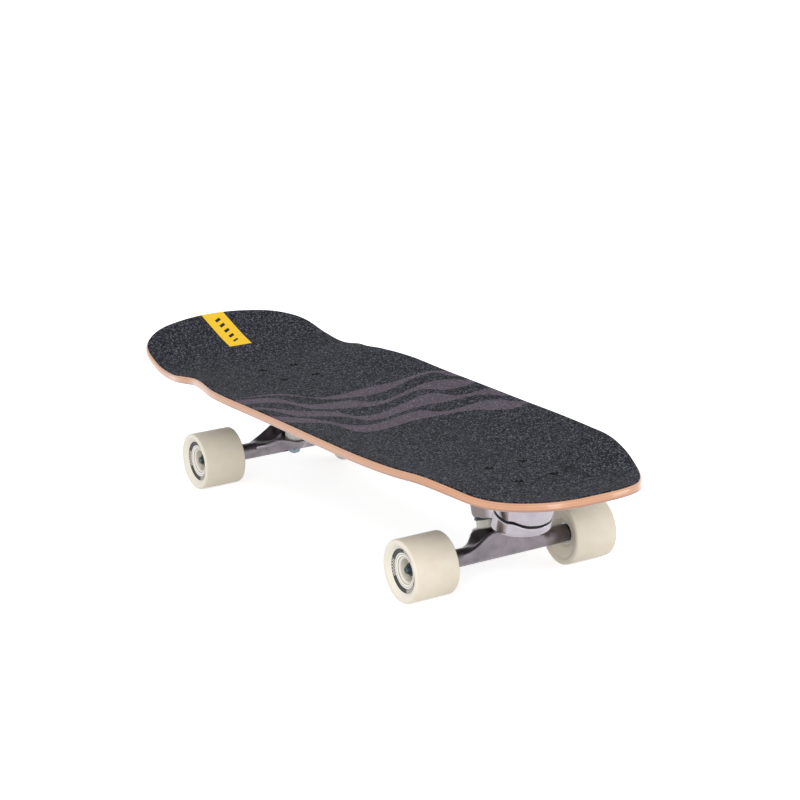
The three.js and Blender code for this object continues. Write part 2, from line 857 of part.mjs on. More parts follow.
// The kingpin's boss starts with a chamfered edge at the seat
function seatBossCircles() {
  return [
    ...circle(onKingpin(bossSeat), seatBossRadius - seatBossChamfer, kingpinAxis, bossSides),
    ...circle(onKingpin(bossSeat + seatBossChamfer), seatBossRadius, kingpinAxis, bossSides),
  ];
}

// Cuts for the cup and for the pivot nose that turns in front of it
function cupPocket() {
  const shape = rod(cupRadius + gap, pivotRootEnd, cupEnd + gap, pivotSides);
  return along(shape, pivotPoint, steerAxis);
}

function kingpinCuts() {
  const overHead = truckHeight / kingpinAxis.z;
  const shank = rod(kingpinRadius + gap, 0, overHead, stackSides);
  const head = rod(kingpinHeadRadius + gap, kingpinHeadBase - gap, overHead, stackSides);
  return [shank, head].map((shape) => along(shape, ringCentre, kingpinAxis));
}

// The seat face that the washer presses on, with everything below it cut away
function seatCut() {
  const shape = rod(seatBossRadius + overrun, 0, bossSeat, bossSides);
  return along(shape, ringCentre, kingpinAxis);
}

// Baseplate and riser pad of the tail truck, in the truck's own frame

function plateHoles(middleX, base, top) {
  const hole = rod(boltRadius + gap, base - overrun, top + overrun, boltSides);
  return boltCorners(middleX).map((place) => hole.clone().translate(place.x, place.y, 0));
}

function boltedPlate(margin, middleX, base, thickness) {
  const lengthX = boltSpacingLong + 2 * (plateMarginLong + margin);
  const widthY = boltSpacingWide + 2 * (plateMarginWide + margin);
  const shape = roundedRectangle(lengthX, widthY, plateCorner + margin);
  return prism(shape, base, thickness).translate(middleX, 0, 0);
}

function baseplate() {
  const plateEnd = axleOutset - boltSpacingLong / 2 - plateMarginLong;
  const seatFoot = new THREE.Vector3(onKingpin(kingpinHeadBase).x, 0, plateMiddle);
  const cupFoot = new THREE.Vector3(plateEnd + bossFootInset + cupBossWall, 0, plateMiddle);
  const coreLength = onKingpin(bossSeat).x + pivotOutset;
  const coreHeight = plateMiddle - coreRise;
  const core = new THREE.BoxGeometry(coreLength, 2 * coreHalfWidth, coreHeight);
  core.translate(coreLength / 2 - pivotOutset, 0, coreRise + coreHeight / 2);
  const body = join(
    boltedPlate(0, axleOutset, plateUnderside, plateThickness),
    core,
    hull(seatBossCircles(), circle(seatFoot, seatBossRadius, zAxis, bossSides)),
    hull(cupBossCircles(), circle(cupFoot, bossFootInset + cupBossWall, zAxis, bossSides)),
  );
  const holes = plateHoles(axleOutset, plateUnderside, truckHeight);
  return cut(body, ...holes, cupPocket(), seatCut(), ...kingpinCuts());
}

function riserPad() {
  const base = truckHeight + gap;
  const pad = boltedPlate(riserMargin, axleOutset, base, riserThickness);
  return cut(pad, ...plateHoles(axleOutset, base, base + riserThickness));
}

// Swivel adapter of the nose truck, in the truck's own frame

// How far the seam rises at an angle: a bump on each side, steep towards the middle of the board
function bumpShare(angle) {
  const beyond = Math.abs(Math.PI - angle) / degree - bumpAngle;
  const width = beyond > 0 ? bumpFarWidth : bumpNearWidth;
  return Math.exp(-((beyond / width) ** 2));
}

// A ring of points about the swivel axis, at a height along it from the seam
function swivelRing(radius, height, bump = 0) {
  const across = new THREE.Vector3(swivelAxis.z, 0, -swivelAxis.x);
  const points = [];
  for (let i = 0; i < drumSides; i += 1) {
    const angle = i / drumSides * Math.PI * 2;
    const point = seamCentre.clone().addScaledVector(swivelAxis, height + bump * bumpShare(angle));
    point.addScaledVector(across, radius * Math.cos(angle));
    points.push(point.addScaledVector(yAxis, radius * Math.sin(angle)));
  }
  return points;
}

// The same ring slid along the swivel axis onto a level plane
function levelRing(radius, level) {
  return swivelRing(radius, 0).map((point) =>
    point.addScaledVector(swivelAxis, (level - point.z) / swivelAxis.z));
}

function onSwivel(shape) {
  return along(shape, seamCentre, swivelAxis);
}

function springPocket() {
  const reach = springPocketUp + seamGap / 2;
  const depth = springPocketDown + seamGap / 2;
  return onSwivel(sleeve(springInnerRadius - gap, springOuterRadius + gap, -depth, reach, swivelSides));
}

function adapterBase() {
  const face = seamGap / 2;
  const drum = skin([
    swivelRing(0, face),
    swivelRing(drumRadius - rimWidth, face),
    swivelRing(drumRadius, face, seamBump),
    levelRing(drumTopRadius, drumTop - drumShoulder),
    levelRing(drumTopRadius - drumShoulder, drumTop),
    levelRing(neckRadius, drumTop),
    levelRing(neckRadius, flangeMiddle),
    levelRing(0, flangeMiddle),
  ]);
  const flangeX = noseAxleX - noseBoltX;
  const flange = boltedPlate(0, flangeX, flangeUnderside, flangeThickness);
  const bore = onSwivel(rod(swivelBoltRadius + gap, 0, face + swivelGrip + gap, swivelSides));
  return cut(join(drum, flange), ...plateHoles(flangeX, flangeUnderside, flangeTop), bore, springPocket());
}

// Height along the swivel axis of the bolt's seat in the arm, measured down from the seam
function swivelHeadSeat() {
  return -(seamRise - armBottomRise) / swivelAxis.z + swivelHeadDepth;
}

function swivelBolt() {
  const seat = swivelHeadSeat() - gap;
  return onSwivel(revolve([
    [0, seat - swivelHeadHeight],
    [swivelHeadRadius, seat - swivelHeadHeight],
    [swivelHeadRadius, seat],
    [swivelBoltRadius, seat],
    [swivelBoltRadius, seamGap / 2 + swivelGrip],
    [0, seamGap / 2 + swivelGrip],
  ], swivelSides));
}

function thrustWasher() {
  const half = seamGap / 2 - gap;
  return onSwivel(sleeve(swivelBoltRadius + gap, thrustRadius, -half, half, swivelSides));
}

function returnSpring() {
  const top = springPocketUp + seamGap / 2 - gap;
  const base = gap - springPocketDown - seamGap / 2;
  return onSwivel(sleeve(springInnerRadius, springOuterRadius, base, top, swivelSides));
}

function armHousing() {
  const face = -seamGap / 2;
  const middleAngle = Math.PI / 4;
  return skin([
    swivelRing(0, face),
    swivelRing(drumRadius - rimWidth, face),
    swivelRing(drumRadius, face, seamBump),
    levelRing(drumRadius, armBottomRise + armRoundRadius),
    levelRing(drumRadius - armRoundRadius * (1 - Math.cos(middleAngle)),
      armBottomRise + armRoundRadius * (1 - Math.sin(middleAngle))),
    levelRing(drumRadius - armRoundRadius, armBottomRise),
    levelRing(0, armBottomRise),
  ]);
}

// The beam from the housing to the kingpin's boss
function armBeam() {
  const corner = (side, rise) => new THREE.Vector3(armRootInset - axleTrail, side * armRootHalfWidth, rise);
  const root = [
    corner(-1, beamBottomRise),
    corner(1, beamBottomRise),
    corner(1, armTopRise),
    corner(-1, armTopRise),
  ];
  const bossTop = circle(onKingpin(bossSeat + seatBossHeight), seatBossRadius, kingpinAxis, bossSides);
  return hull(root, seatBossCircles(), bossTop);
}

function swingArm() {
  const seat = swivelHeadSeat();
  const below = -seamRise / swivelAxis.z;
  const bore = onSwivel(rod(swivelBoltRadius + runningGap, seat - overrun, 0, swivelSides));
  const headPocket = onSwivel(rod(swivelHeadRadius + gap, below, seat, swivelSides));
  const body = join(armHousing(), armBeam(), hull(cupBossCircles()));
  return cut(body, bore, headPocket, springPocket(), cupPocket(), seatCut(), ...kingpinCuts());
}

// The assembly

function tailTruck() {
  const truck = new THREE.Group();
  truck.position.set(tailAxleX, 0, wheelRadius);
  truck.add(
    named("riser_pad", riserPad(), materials.blackRubber),
    named("tail_baseplate", baseplate(), materials.castAluminium),
    ...truckPieces("tail"),
  );
  return truck;
}

function noseTruck() {
  const truck = new THREE.Group();
  truck.position.set(noseAxleX, 0, wheelRadius);
  truck.rotation.z = Math.PI;
  truck.add(
    named("adapter_base", adapterBase(), materials.polishedAluminium),
    named("swivel_bolt", swivelBolt(), materials.blackSteel),
    named("thrust_washer", thrustWasher(), materials.zincSteel),
    named("return_spring", returnSpring(), materials.springSteel),
    named("swing_arm", swingArm(), materials.polishedAluminium),
    ...truckPieces("nose"),
  );
  return truck;
}

function board() {
  const surfaceRing = ringMaker();
  return [
    named("deck", deck(surfaceRing), materials.maple),
    named("grip_tape", gripTape(surfaceRing), materials.grip),
    ...fasteners("nose", noseBoltX, wheelRadius + flangeUnderside),
    ...fasteners("tail", tailBoltX, wheelRadius + plateUnderside),
  ];
}

const surfSkateboard = new THREE.Group();
surfSkateboard.add(
  ...board(),
  tailTruck(),
  noseTruck(),
  ...wheelSet("tail", tailAxleX),
  ...wheelSet("nose", noseAxleX),
);

export default surfSkateboard;
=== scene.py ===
"""Surf skateboard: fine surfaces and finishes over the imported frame, with a plain studio.

Lengths are in millimetres until a mesh is made. A truck is worked out in its own frame, from the middle
of its axle, with X towards the middle of the board, and is then turned and moved to its place.
"""

import json
import logging
import math
from dataclasses import dataclass, field, replace
from enum import Enum

import bpy
import numpy as np
from mathutils import Matrix, Vector


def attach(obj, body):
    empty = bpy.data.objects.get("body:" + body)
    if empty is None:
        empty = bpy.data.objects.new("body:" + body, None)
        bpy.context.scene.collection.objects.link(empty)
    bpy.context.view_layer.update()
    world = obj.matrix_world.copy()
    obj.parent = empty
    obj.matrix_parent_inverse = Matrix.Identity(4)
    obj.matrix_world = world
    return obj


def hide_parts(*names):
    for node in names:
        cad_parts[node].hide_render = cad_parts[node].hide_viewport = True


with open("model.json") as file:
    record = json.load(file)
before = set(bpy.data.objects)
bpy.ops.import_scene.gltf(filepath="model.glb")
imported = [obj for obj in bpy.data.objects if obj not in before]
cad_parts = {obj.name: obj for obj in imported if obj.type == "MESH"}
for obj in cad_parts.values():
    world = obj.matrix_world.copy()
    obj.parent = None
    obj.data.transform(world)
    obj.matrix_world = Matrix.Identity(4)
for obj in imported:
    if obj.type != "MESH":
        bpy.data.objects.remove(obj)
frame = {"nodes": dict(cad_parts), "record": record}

LOG = logging.getLogger("surf_skateboard")
Array = np.ndarray
Object = bpy.types.Object
Pair = tuple[float, float]
Triple = tuple[float, float, float]
Quad = tuple[float, float, float, float]
MILLIMETRE = 0.001
GAP = 0.3
Y_AXIS = np.array([0.0, 1.0, 0.0])
Z_AXIS = np.array([0.0, 0.0, 1.0])


# Colour and node helpers

def linear(colour: str) -> Quad:
    """Linear red, green, blue and alpha of an sRGB hex value."""
    shares = [int(colour[i:i + 2], 16) / 255 for i in (1, 3, 5)]
    return (*[s / 12.92 if s <= 0.04045 else ((s + 0.055) / 1.055) ** 2.4 for s in shares], 1.0)


def add(tree: bpy.types.NodeTree, kind: str, settings: dict, sockets: dict) -> bpy.types.Node:
    """Adds a node with its settings, and sets or links its inputs.

    Args:
        tree: the node tree that gets the node.
        kind: the node's type name.
        settings: properties of the node and their values.
        sockets: input names or numbers, each with a value or with the signal that feeds it.

    Returns:
        The new node.
    """
    made = tree.nodes.new(kind)
    for name, value in settings.items():
        setattr(made, name, value)
    for key, value in sockets.items():
        if isinstance(value, Signal):
            tree.links.new(value.socket, made.inputs[key])
        else:
            made.inputs[key].default_value = value
    return made


def emptied(owner: bpy.types.Material | bpy.types.World) -> bpy.types.NodeTree:
    """The node tree of a material or world, with nothing in it yet.

    Args:
        owner: what the tree belongs to.

    Returns:
        The empty tree.
    """
    owner.use_nodes = True
    owner.node_tree.nodes.clear()
    return owner.node_tree


class Step(Enum):
    """The ways in which a math node combines its values."""

    PLUS = "ADD"
    MINUS = "SUBTRACT"
    TIMES = "MULTIPLY"
    POWER = "POWER"
    LESS = "LESS_THAN"
    MORE = "GREATER_THAN"
    MOST = "MAXIMUM"
    SINE = "SINE"
    SIZE = "ABSOLUTE"
    REST = "FRACT"
    FLOOR = "FLOOR"


@dataclass(frozen=True, eq=False)
class Signal:
    """A node's output. The usual operators combine it with numbers and other signals."""

    tree: bpy.types.NodeTree
    socket: bpy.types.NodeSocket

    def step(self, way: Step, first: "Signal | float", second: "Signal | float" = 0.0) -> "Signal":
        """The result of a math node on two values."""
        made = add(self.tree, "ShaderNodeMath", {"operation": way.value}, {0: first, 1: second})
        return Signal(self.tree, made.outputs[0])

    def __add__(self, other: "Signal | float") -> "Signal":
        """The sum."""
        return self.step(Step.PLUS, self, other)

    def __sub__(self, other: "Signal | float") -> "Signal":
        """The difference."""
        return self.step(Step.MINUS, self, other)

    def __mul__(self, other: "Signal | float") -> "Signal":
        """The product."""
        return self.step(Step.TIMES, self, other)

    def __pow__(self, power: float) -> "Signal":
        """The power."""
        return self.step(Step.POWER, self, power)

    def __lt__(self, limit: float) -> "Signal":
        """1 below the limit."""
        return self.step(Step.LESS, self, limit)

    def __gt__(self, limit: float) -> "Signal":
        """1 above the limit."""
        return self.step(Step.MORE, self, limit)

    def __abs__(self) -> "Signal":
        """The value without its sign."""
        return self.step(Step.SIZE, self)

    def most(self, other: "Signal") -> "Signal":
        """The larger of two signals."""
        return self.step(Step.MOST, self, other)

    def sine(self) -> "Signal":
        """The sine of the value in radians."""
        return self.step(Step.SINE, self)

    def rest(self) -> "Signal":
        """What is left after the whole number below."""
        return self.step(Step.REST, self)

    def floor(self) -> "Signal":
        """The whole number below."""
        return self.step(Step.FLOOR, self)

    def between(self, low: float, high: float, at_low: float = 0.0, at_high: float = 1.0) -> "Signal":
        """Maps a range to another, and stops at its ends.

        Args:
            low: where the first range starts.
            high: where the first range ends.
            at_low: the result at its start.
            at_high: the result at its end.

        Returns:
            The mapped signal.
        """
        made = add(self.tree, "ShaderNodeMapRange", {"clamp": True}, {
            "Value": self, "From Min": low, "From Max": high, "To Min": at_low, "To Max": at_high})
        return Signal(self.tree, made.outputs[0])


@dataclass
class Graph:
    """A material's node tree, with the few steps that all finishes use."""

    material: bpy.types.Material
    tree: bpy.types.NodeTree = field(init=False)
    place: Signal = field(init=False)

    def __post_init__(self) -> None:
        """Empties the tree and adds the object's coordinates."""
        self.tree = emptied(self.material)
        self.place = self.node("ShaderNodeTexCoord", {}, {}, "Object")

    def node(self, kind: str, settings: dict, sockets: dict, output: int | str = 0) -> Signal:
        """Adds a node, and gives one of its outputs as a signal."""
        return Signal(self.tree, add(self.tree, kind, settings, sockets).outputs[output])

    def split(self, vector: Signal) -> list[Signal]:
        """The three parts of a vector."""
        made = add(self.tree, "ShaderNodeSeparateXYZ", {}, {"Vector": vector})
        return [Signal(self.tree, part) for part in made.outputs]

    def pattern(self) -> Signal:
        """The pattern place that the piece's mesh carries."""
        return self.node("ShaderNodeUVMap", {"uv_map": "pattern"}, {})

    def noise(self, size_mm: float, detail: float = 2.0, roughness: float = 0.5,
              squeeze: Triple = (1.0, 1.0, 1.0)) -> Signal:
        """Noise whose lumps have a real size, with values round a half.

        Args:
            size_mm: the width of a lump.
            detail: how many finer layers it has.
            roughness: how strong the finer layers are.
            squeeze: how many times the lumps are squeezed along each axis.

        Returns:
            The noise.
        """
        squeezed = self.node("ShaderNodeMapping", {}, {"Vector": self.place, "Scale": squeeze})
        return self.node("ShaderNodeTexNoise", {}, {
            "Vector": squeezed, "Scale": 1 / (size_mm * MILLIMETRE), "Detail": detail,
            "Roughness": roughness})

    def mixed(self, share: Signal, first: Signal | str, second: Signal | str) -> Signal:
        """Two colours, signals or hex values, mixed by the share of the second one."""
        ends = [linear(c) if isinstance(c, str) else c for c in (first, second)]
        return self.node("ShaderNodeMix", {"data_type": "RGBA"}, {0: share, 6: ends[0], 7: ends[1]}, 2)

    def bump(self, height: Signal, depth_mm: float, strength: float) -> Signal:
        """The normal of a height pattern of a real depth, of which a share of the strength shows."""
        return self.node("ShaderNodeBump", {}, {
            "Height": height, "Distance": depth_mm * MILLIMETRE, "Strength": strength})

    def surface(self, sockets: dict) -> None:
        """Ends the tree with the main shader and its inputs."""
        shader = self.node("ShaderNodeBsdfPrincipled", {}, sockets)
        add(self.tree, "ShaderNodeOutputMaterial", {}, {"Surface": shader})


# Finishes

@dataclass(frozen=True)
class Finish:
    """A finish that a piece takes; its subclasses say how it is made up."""

    name: str

    def build(self) -> bpy.types.Material:
        """Makes the material.

        Returns:
            The new material.
        """
        material = bpy.data.materials.new(self.name)
        self.compose(Graph(material))
        return material

    def compose(self, graph: Graph) -> None:
        """Fills the new material's tree."""
        raise NotImplementedError


@dataclass(frozen=True)
class GritTape(Finish):
    """Silicon carbide grit glued on black film: dark, matt, with painted glints on a few grains as
    highlights.

    The grit is 0.3 mm wide and would not show, so the grains are drawn 1.3 mm wide. The band's waves are
    given by their lengths and heights in millimetres.
    """

    name: str = "silicon_carbide_grit_tape"
    film: str = "#1c1d23"
    hollow: str = "#121318"
    # Colour of the painted glints: highlights that a few grains are lightened to
    grain: str = "#8c8e9b"
    swell: str = "#564b56"
    label: str = "#f5c832"
    bars: str = "#1d1d1f"
    grain_mm: float = 1.3
    relief_mm: float = 0.35
    band_middle_mm: Pair = (-5.0, 24.0)
    band_turn: float = 17.0
    band_half_mm: float = 92.0
    line_mm: float = 46.0
    slow_wave_mm: Pair = (175.0, 15.0)
    quick_wave_mm: Pair = (88.0, 6.5)
    width_wave_mm: float = 120.0
    # Radians that the quick wave and the lines' width shift by in a millimetre along the band
    shifts: Pair = (0.034, 0.05)
    width_change: float = 0.75
    narrowing: float = 0.16
    soft: float = 0.04
    label_middle_mm: Pair = (-376.0, 0.0)
    label_half_mm: Pair = (40.0, 15.0)
    bar_mm: float = 12.0
    row_half_mm: Pair = (28.0, 4.1)
    slant: float = 0.55

    def compose(self, graph: Graph) -> None:
        """Lays the swell band and the label over the film, and the grains' painted glints over all of them.

        Args:
            graph: the new material's tree.
        """
        film = graph.mixed(graph.noise(38).between(0.3, 0.7, 0.5, 1.0), self.hollow, self.film)
        ground = graph.mixed(self.band(graph), film, self.swell)
        label, bars = self.sticker(graph)
        ground = graph.mixed(bars, graph.mixed(label, ground, self.label), self.bars)
        cells = add(graph.tree, "ShaderNodeTexVoronoi", {"feature": "F1"}, {
            "Vector": graph.place, "Scale": 1 / (self.grain_mm * MILLIMETRE)})
        chance, distance = (Signal(graph.tree, cells.outputs[name]) for name in ("Color", "Distance"))
        glint, pit, matt = (graph.node("ShaderNodeSeparateColor", {}, {"Color": chance}, i) for i in range(3))
        dark = pit.between(0.45, 1.0) * 0.45 * label.between(0, 1, 1, 0.15)
        # Painted highlights: a few grains lightened towards the grain colour as glints
        painted_glints = glint.between(0.35, 1.0) ** 2.4 * label.between(0, 1, 0.5, 0.1)
        colour = graph.mixed(painted_glints, graph.mixed(dark, ground, self.hollow), self.grain)
        graph.surface({
            "Base Color": colour,
            "Roughness": matt.between(0, 1, 0.62, 0.95),
            "Normal": graph.bump(distance * -1 + 1, self.relief_mm, 0.5),
            "Specular IOR Level": 0.08,
        })

    def turned(self, graph: Graph, middle: Pair, turn: float) -> list[Signal]:
        """Coordinates in millimetres from a middle, on axes turned by some degrees.

        Args:
            graph: the material's tree.
            middle: the new origin.
            turn: how far the axes turn.

        Returns:
            The signals along and across.
        """
        return graph.split(graph.node("ShaderNodeMapping", {"vector_type": "TEXTURE"}, {
            "Vector": graph.place, "Location": (middle[0] * MILLIMETRE, middle[1] * MILLIMETRE, 0),
            "Rotation": (0, 0, math.radians(turn)), "Scale": (MILLIMETRE,) * 3}))[:2]

    def band(self, graph: Graph) -> Signal:
        """Rows of swell lines across the board: sines of the way across, bent by two slower sines.

        Args:
            graph: the material's tree.

        Returns:
            The signal that is 1 on a swell line.
        """
        way, cross = self.turned(graph, self.band_middle_mm, -self.band_turn)
        slow = (cross * (math.tau / self.slow_wave_mm[0])).sine() * self.slow_wave_mm[1]
        shift, width_shift = (way * pace for pace in self.shifts)
        quick = (cross * (math.tau / self.quick_wave_mm[0]) + shift).sine() * self.quick_wave_mm[1]
        bent = way + slow + quick
        width = (cross * (math.tau / self.width_wave_mm) + width_shift).sine() * self.width_change
        line = ((bent * (math.tau / self.line_mm)).sine() + width).between(-self.soft, self.soft)
        reach = abs(bent) + abs(cross) * self.narrowing
        return line * reach.between(self.band_half_mm + 0.4, self.band_half_mm - 0.4)

    def sticker(self, graph: Graph) -> tuple[Signal, Signal]:
        """A yellow label with a row of slanted dark bars.

        Args:
            graph: the material's tree.

        Returns:
            The signals that are 1 on the label and 1 on its bars.
        """
        way, cross = self.turned(graph, self.label_middle_mm, 0)
        half_way, half_cross = self.label_half_mm
        label = (abs(way).between(half_way + 0.3, half_way - 0.3)
                 * abs(cross).between(half_cross + 0.3, half_cross - 0.3))
        slanted = way + cross * self.slant
        row_way, row_cross = self.row_half_mm
        row = (abs(slanted).between(row_way + 0.5, row_way - 0.5)
               * abs(cross).between(row_cross + 0.3, row_cross - 0.3))
        bars = (slanted * (math.tau / self.bar_mm)).sine().between(0.12, 0.3)
        return label, bars * row * label


@dataclass(frozen=True)
class PressedMaple(Finish):
    """Seven pressed maple plies under satin lacquer: warm tan edges, thin glue lines, painted shade in the
    bolt holes.

    The pattern runs on the way round the edge and on the depth below the top face, both in metres.
    """

    name: str = "pressed_maple_plies"
    light: str = "#d6a27e"
    deep: str = "#c0835e"
    low: str = "#85564a"
    glue: str = "#7c4a30"
    underside: str = "#2b2623"
    wear_and_shade: str = "#3d342f"
    hole_shade: str = "#241c18"
    plies: int = 7
    thickness: float = 0.0088
    low_depth: Pair = (0.0055, 0.0084)
    underside_depth: Pair = (0.0083, 0.00875)
    hole_depth: Pair = (0.012, 0.016)
    streak: Pair = (0.045, 0.0005)

    def compose(self, graph: Graph) -> None:
        """Draws the plies on the edge and a dark underside: a guessed stain, kept dark also so that the
        metal's reflections of it give painted shade.

        Args:
            graph: the new material's tree.
        """
        pattern = graph.pattern()
        depth = graph.split(pattern)[1]
        level = depth * (self.plies / self.thickness)
        odd = (level.floor() * 0.5).rest()
        streaks = graph.node("ShaderNodeMapping", {}, {
            "Vector": pattern, "Scale": (1 / self.streak[0], 1 / self.streak[1], 1)})
        grain = graph.node("ShaderNodeTexNoise", {}, {"Vector": streaks, "Scale": 1.0, "Detail": 3.0})
        tone = odd * 0.55 + grain * 0.5
        edge = graph.mixed(tone.between(0.1, 0.75), self.light, self.deep)
        line = abs(level.rest() - 0.5).between(0.42, 0.49)
        edge = graph.mixed(line * 0.2, edge, self.glue)
        edge = graph.mixed(depth.between(*self.low_depth, 0, 0.8), edge, self.low)
        long_grain = graph.noise(3.2, 4, 0.6, (0.03, 1, 1))
        # The dark underside is partly a guessed stain and partly painted shade for the metal's reflections of
        # it
        below = graph.mixed(long_grain.between(0.35, 0.65, 0, 0.35), self.underside, self.wear_and_shade)
        upward = graph.split(graph.node("ShaderNodeNewGeometry", {}, {}, "Normal"))[2]
        down = depth.between(*self.underside_depth) * upward.between(-0.72, -0.86)
        colour = graph.mixed(down, edge, below)
        # Painted shade: the bolt holes' walls are coloured near black
        graph.surface({
            "Base Color": graph.mixed(depth.between(*self.hole_depth), colour, self.hole_shade),
            "Roughness": grain.between(0.3, 0.7, 0.3, 0.42),
            "Coat Weight": 1.0,
            "Coat Roughness": 0.1,
            "Normal": graph.bump(grain, 0.04, 0.5),
        })


@dataclass(frozen=True)
class PouredUrethane(Finish):
    """Cast polyurethane: cream, satin on the turned tread, with light that sinks in a little.

    The outer face carries a dark printed ring of small checks and two thin lines. The pattern runs on
    the share of a turn and on the radius in millimetres.
    """

    name: str = "poured_urethane"
    body: str = "#ece2d0"
    shade: str = "#e8ddc9"
    core: str = "#f2efe7"
    ink: str = "#1c1b1d"
    gap: str = "#dcd5c6"
    haze: str = "#34312f"
    core_mm: float = 15.2
    ring_mm: Pair = (18.5, 23.1)
    border_mm: float = 0.26
    row_mm: float = 1.02
    wave_mm: float = 0.7
    lines_mm: Pair = (16.9, 14.1)
    checks: int = 42
    sectors: int = 3
    sector_turn: float = 4.5

    def compose(self, graph: Graph) -> None:
        """Mottles the body faintly, paints light on the outer face, and prints the ring.

        Args:
            graph: the new material's tree.
        """
        turn, radius, _ = graph.split(graph.pattern())
        inner, outer = self.ring_mm
        body = graph.mixed(graph.noise(11, 3).between(0.35, 0.7), self.body, self.shade)
        # Painted light: the outer face and its lip are mixed halfway to the core's white, for the light they
        # catch
        body = graph.mixed(radius.between(33, 30, 0, 0.5), body, self.core)
        body = graph.mixed((radius > self.core_mm) * (radius < inner), body, self.core)
        first, last = inner + self.border_mm, outer - self.border_mm
        shifted = (((radius - first) * (1 / self.row_mm)).floor() * 0.5).rest()
        check = abs((turn * self.checks + shifted).rest() - 0.5).between(0.22, 0.28)
        checked = graph.mixed(check * ((radius > first) * (radius < last)), self.ink, self.gap)
        crest = (turn * (math.tau * self.checks)).sine() * self.wave_mm + (inner + outer) / 2
        waved = graph.mixed(abs(radius - crest).between(0.75, 0.5), self.ink, self.haze)
        part = (turn * (math.tau * self.sectors) + self.sector_turn).sine()
        printed = graph.mixed(part > 0.25, waved, checked)
        colour = graph.mixed((radius > inner) * (radius < outer), body, printed)
        for line_mm in self.lines_mm:
            colour = graph.mixed(abs(radius - line_mm).between(0.32, 0.2, 0, 0.8), colour, self.ink)
        graph.surface({
            "Base Color": colour,
            "Roughness": graph.noise(1.6).between(0.3, 0.7, 0.36, 0.5),
            "Subsurface Weight": 0.12,
            "Subsurface Radius": (0.004, 0.003, 0.002),
            "IOR": 1.5,
            "Normal": graph.bump(graph.noise(0.9), 0.02, 0.35),
        })


@dataclass(frozen=True)
class Metal(Finish):
    """Bare metal: its colour, its gloss, and the marks that its making leaves.

    A buffed casting can be painted darker towards the middle of the board: painted shade for the parts that
    lie in shade behind the drum.
    """

    colour: str
    dull: str
    gloss: Pair
    patch_mm: float
    grain_mm: float
    relief_mm: float
    painted_shade: str = ""
    painted_shade_mm: Pair = (244.0, 232.0)

    def compose(self, graph: Graph) -> None:
        """Varies the colour in soft patches and the gloss in fine grain.

        Args:
            graph: the new material's tree.
        """
        grain = graph.noise(self.grain_mm)
        colour = graph.mixed(graph.noise(self.patch_mm, 3).between(0.35, 0.7), self.colour, self.dull)
        # Painted shade: the colour darkens along X towards the middle of the board
        if self.painted_shade:
            start, end = (edge * MILLIMETRE for edge in self.painted_shade_mm)
            colour = graph.mixed(graph.split(graph.place)[0].between(start, end), colour, self.painted_shade)
        graph.surface({
            "Base Color": colour,
            "Metallic": 1.0,
            "Roughness": grain.between(0.25, 0.75, *self.gloss),
            "Normal": graph.bump(grain, self.relief_mm, 0.6),
        })


@dataclass(frozen=True)
class ShieldedBearing(Finish):
    """Ground steel races round a dark pressed shield; the pattern's second value is 1 on the shield."""

    name: str = "ground_steel_and_shield"
    steel: str = "#a9adb0"
    shield: str = "#2c2d30"

    def compose(self, graph: Graph) -> None:
        """Colours the shield between the races.

        Args:
            graph: the new material's tree.
        """
        on_shield = graph.split(graph.pattern())[1]
        graph.surface({
            "Base Color": graph.mixed(on_shield.between(0.45, 0.55), self.steel, self.shield),
            "Metallic": on_shield.between(0.45, 0.55, 1.0, 0.2),
            "Roughness": graph.noise(0.7).between(0.3, 0.7, 0.22, 0.34),
        })


@dataclass(frozen=True)
class Plastic(Finish):
    """Moulded rubber or urethane: one colour with faint clouds and a soft moulded skin."""

    colour: str
    cloud: str
    gloss: Pair
    through: float = 0.0
    sink: float = 0.0
    grain_mm: float = 0.8
    relief_mm: float = 0.03

    def compose(self, graph: Graph) -> None:
        """Clouds the colour and grains the skin.

        Args:
            graph: the new material's tree.
        """
        grain = graph.noise(self.grain_mm)
        graph.surface({
            "Base Color": graph.mixed(graph.noise(7).between(0.3, 0.7), self.colour, self.cloud),
            "Roughness": grain.between(0.3, 0.7, *self.gloss),
            "Transmission Weight": self.through,
            "Subsurface Weight": self.sink,
            "Subsurface Radius": (0.004, 0.004, 0.0035),
            "Normal": graph.bump(grain, self.relief_mm, 0.4),
        })


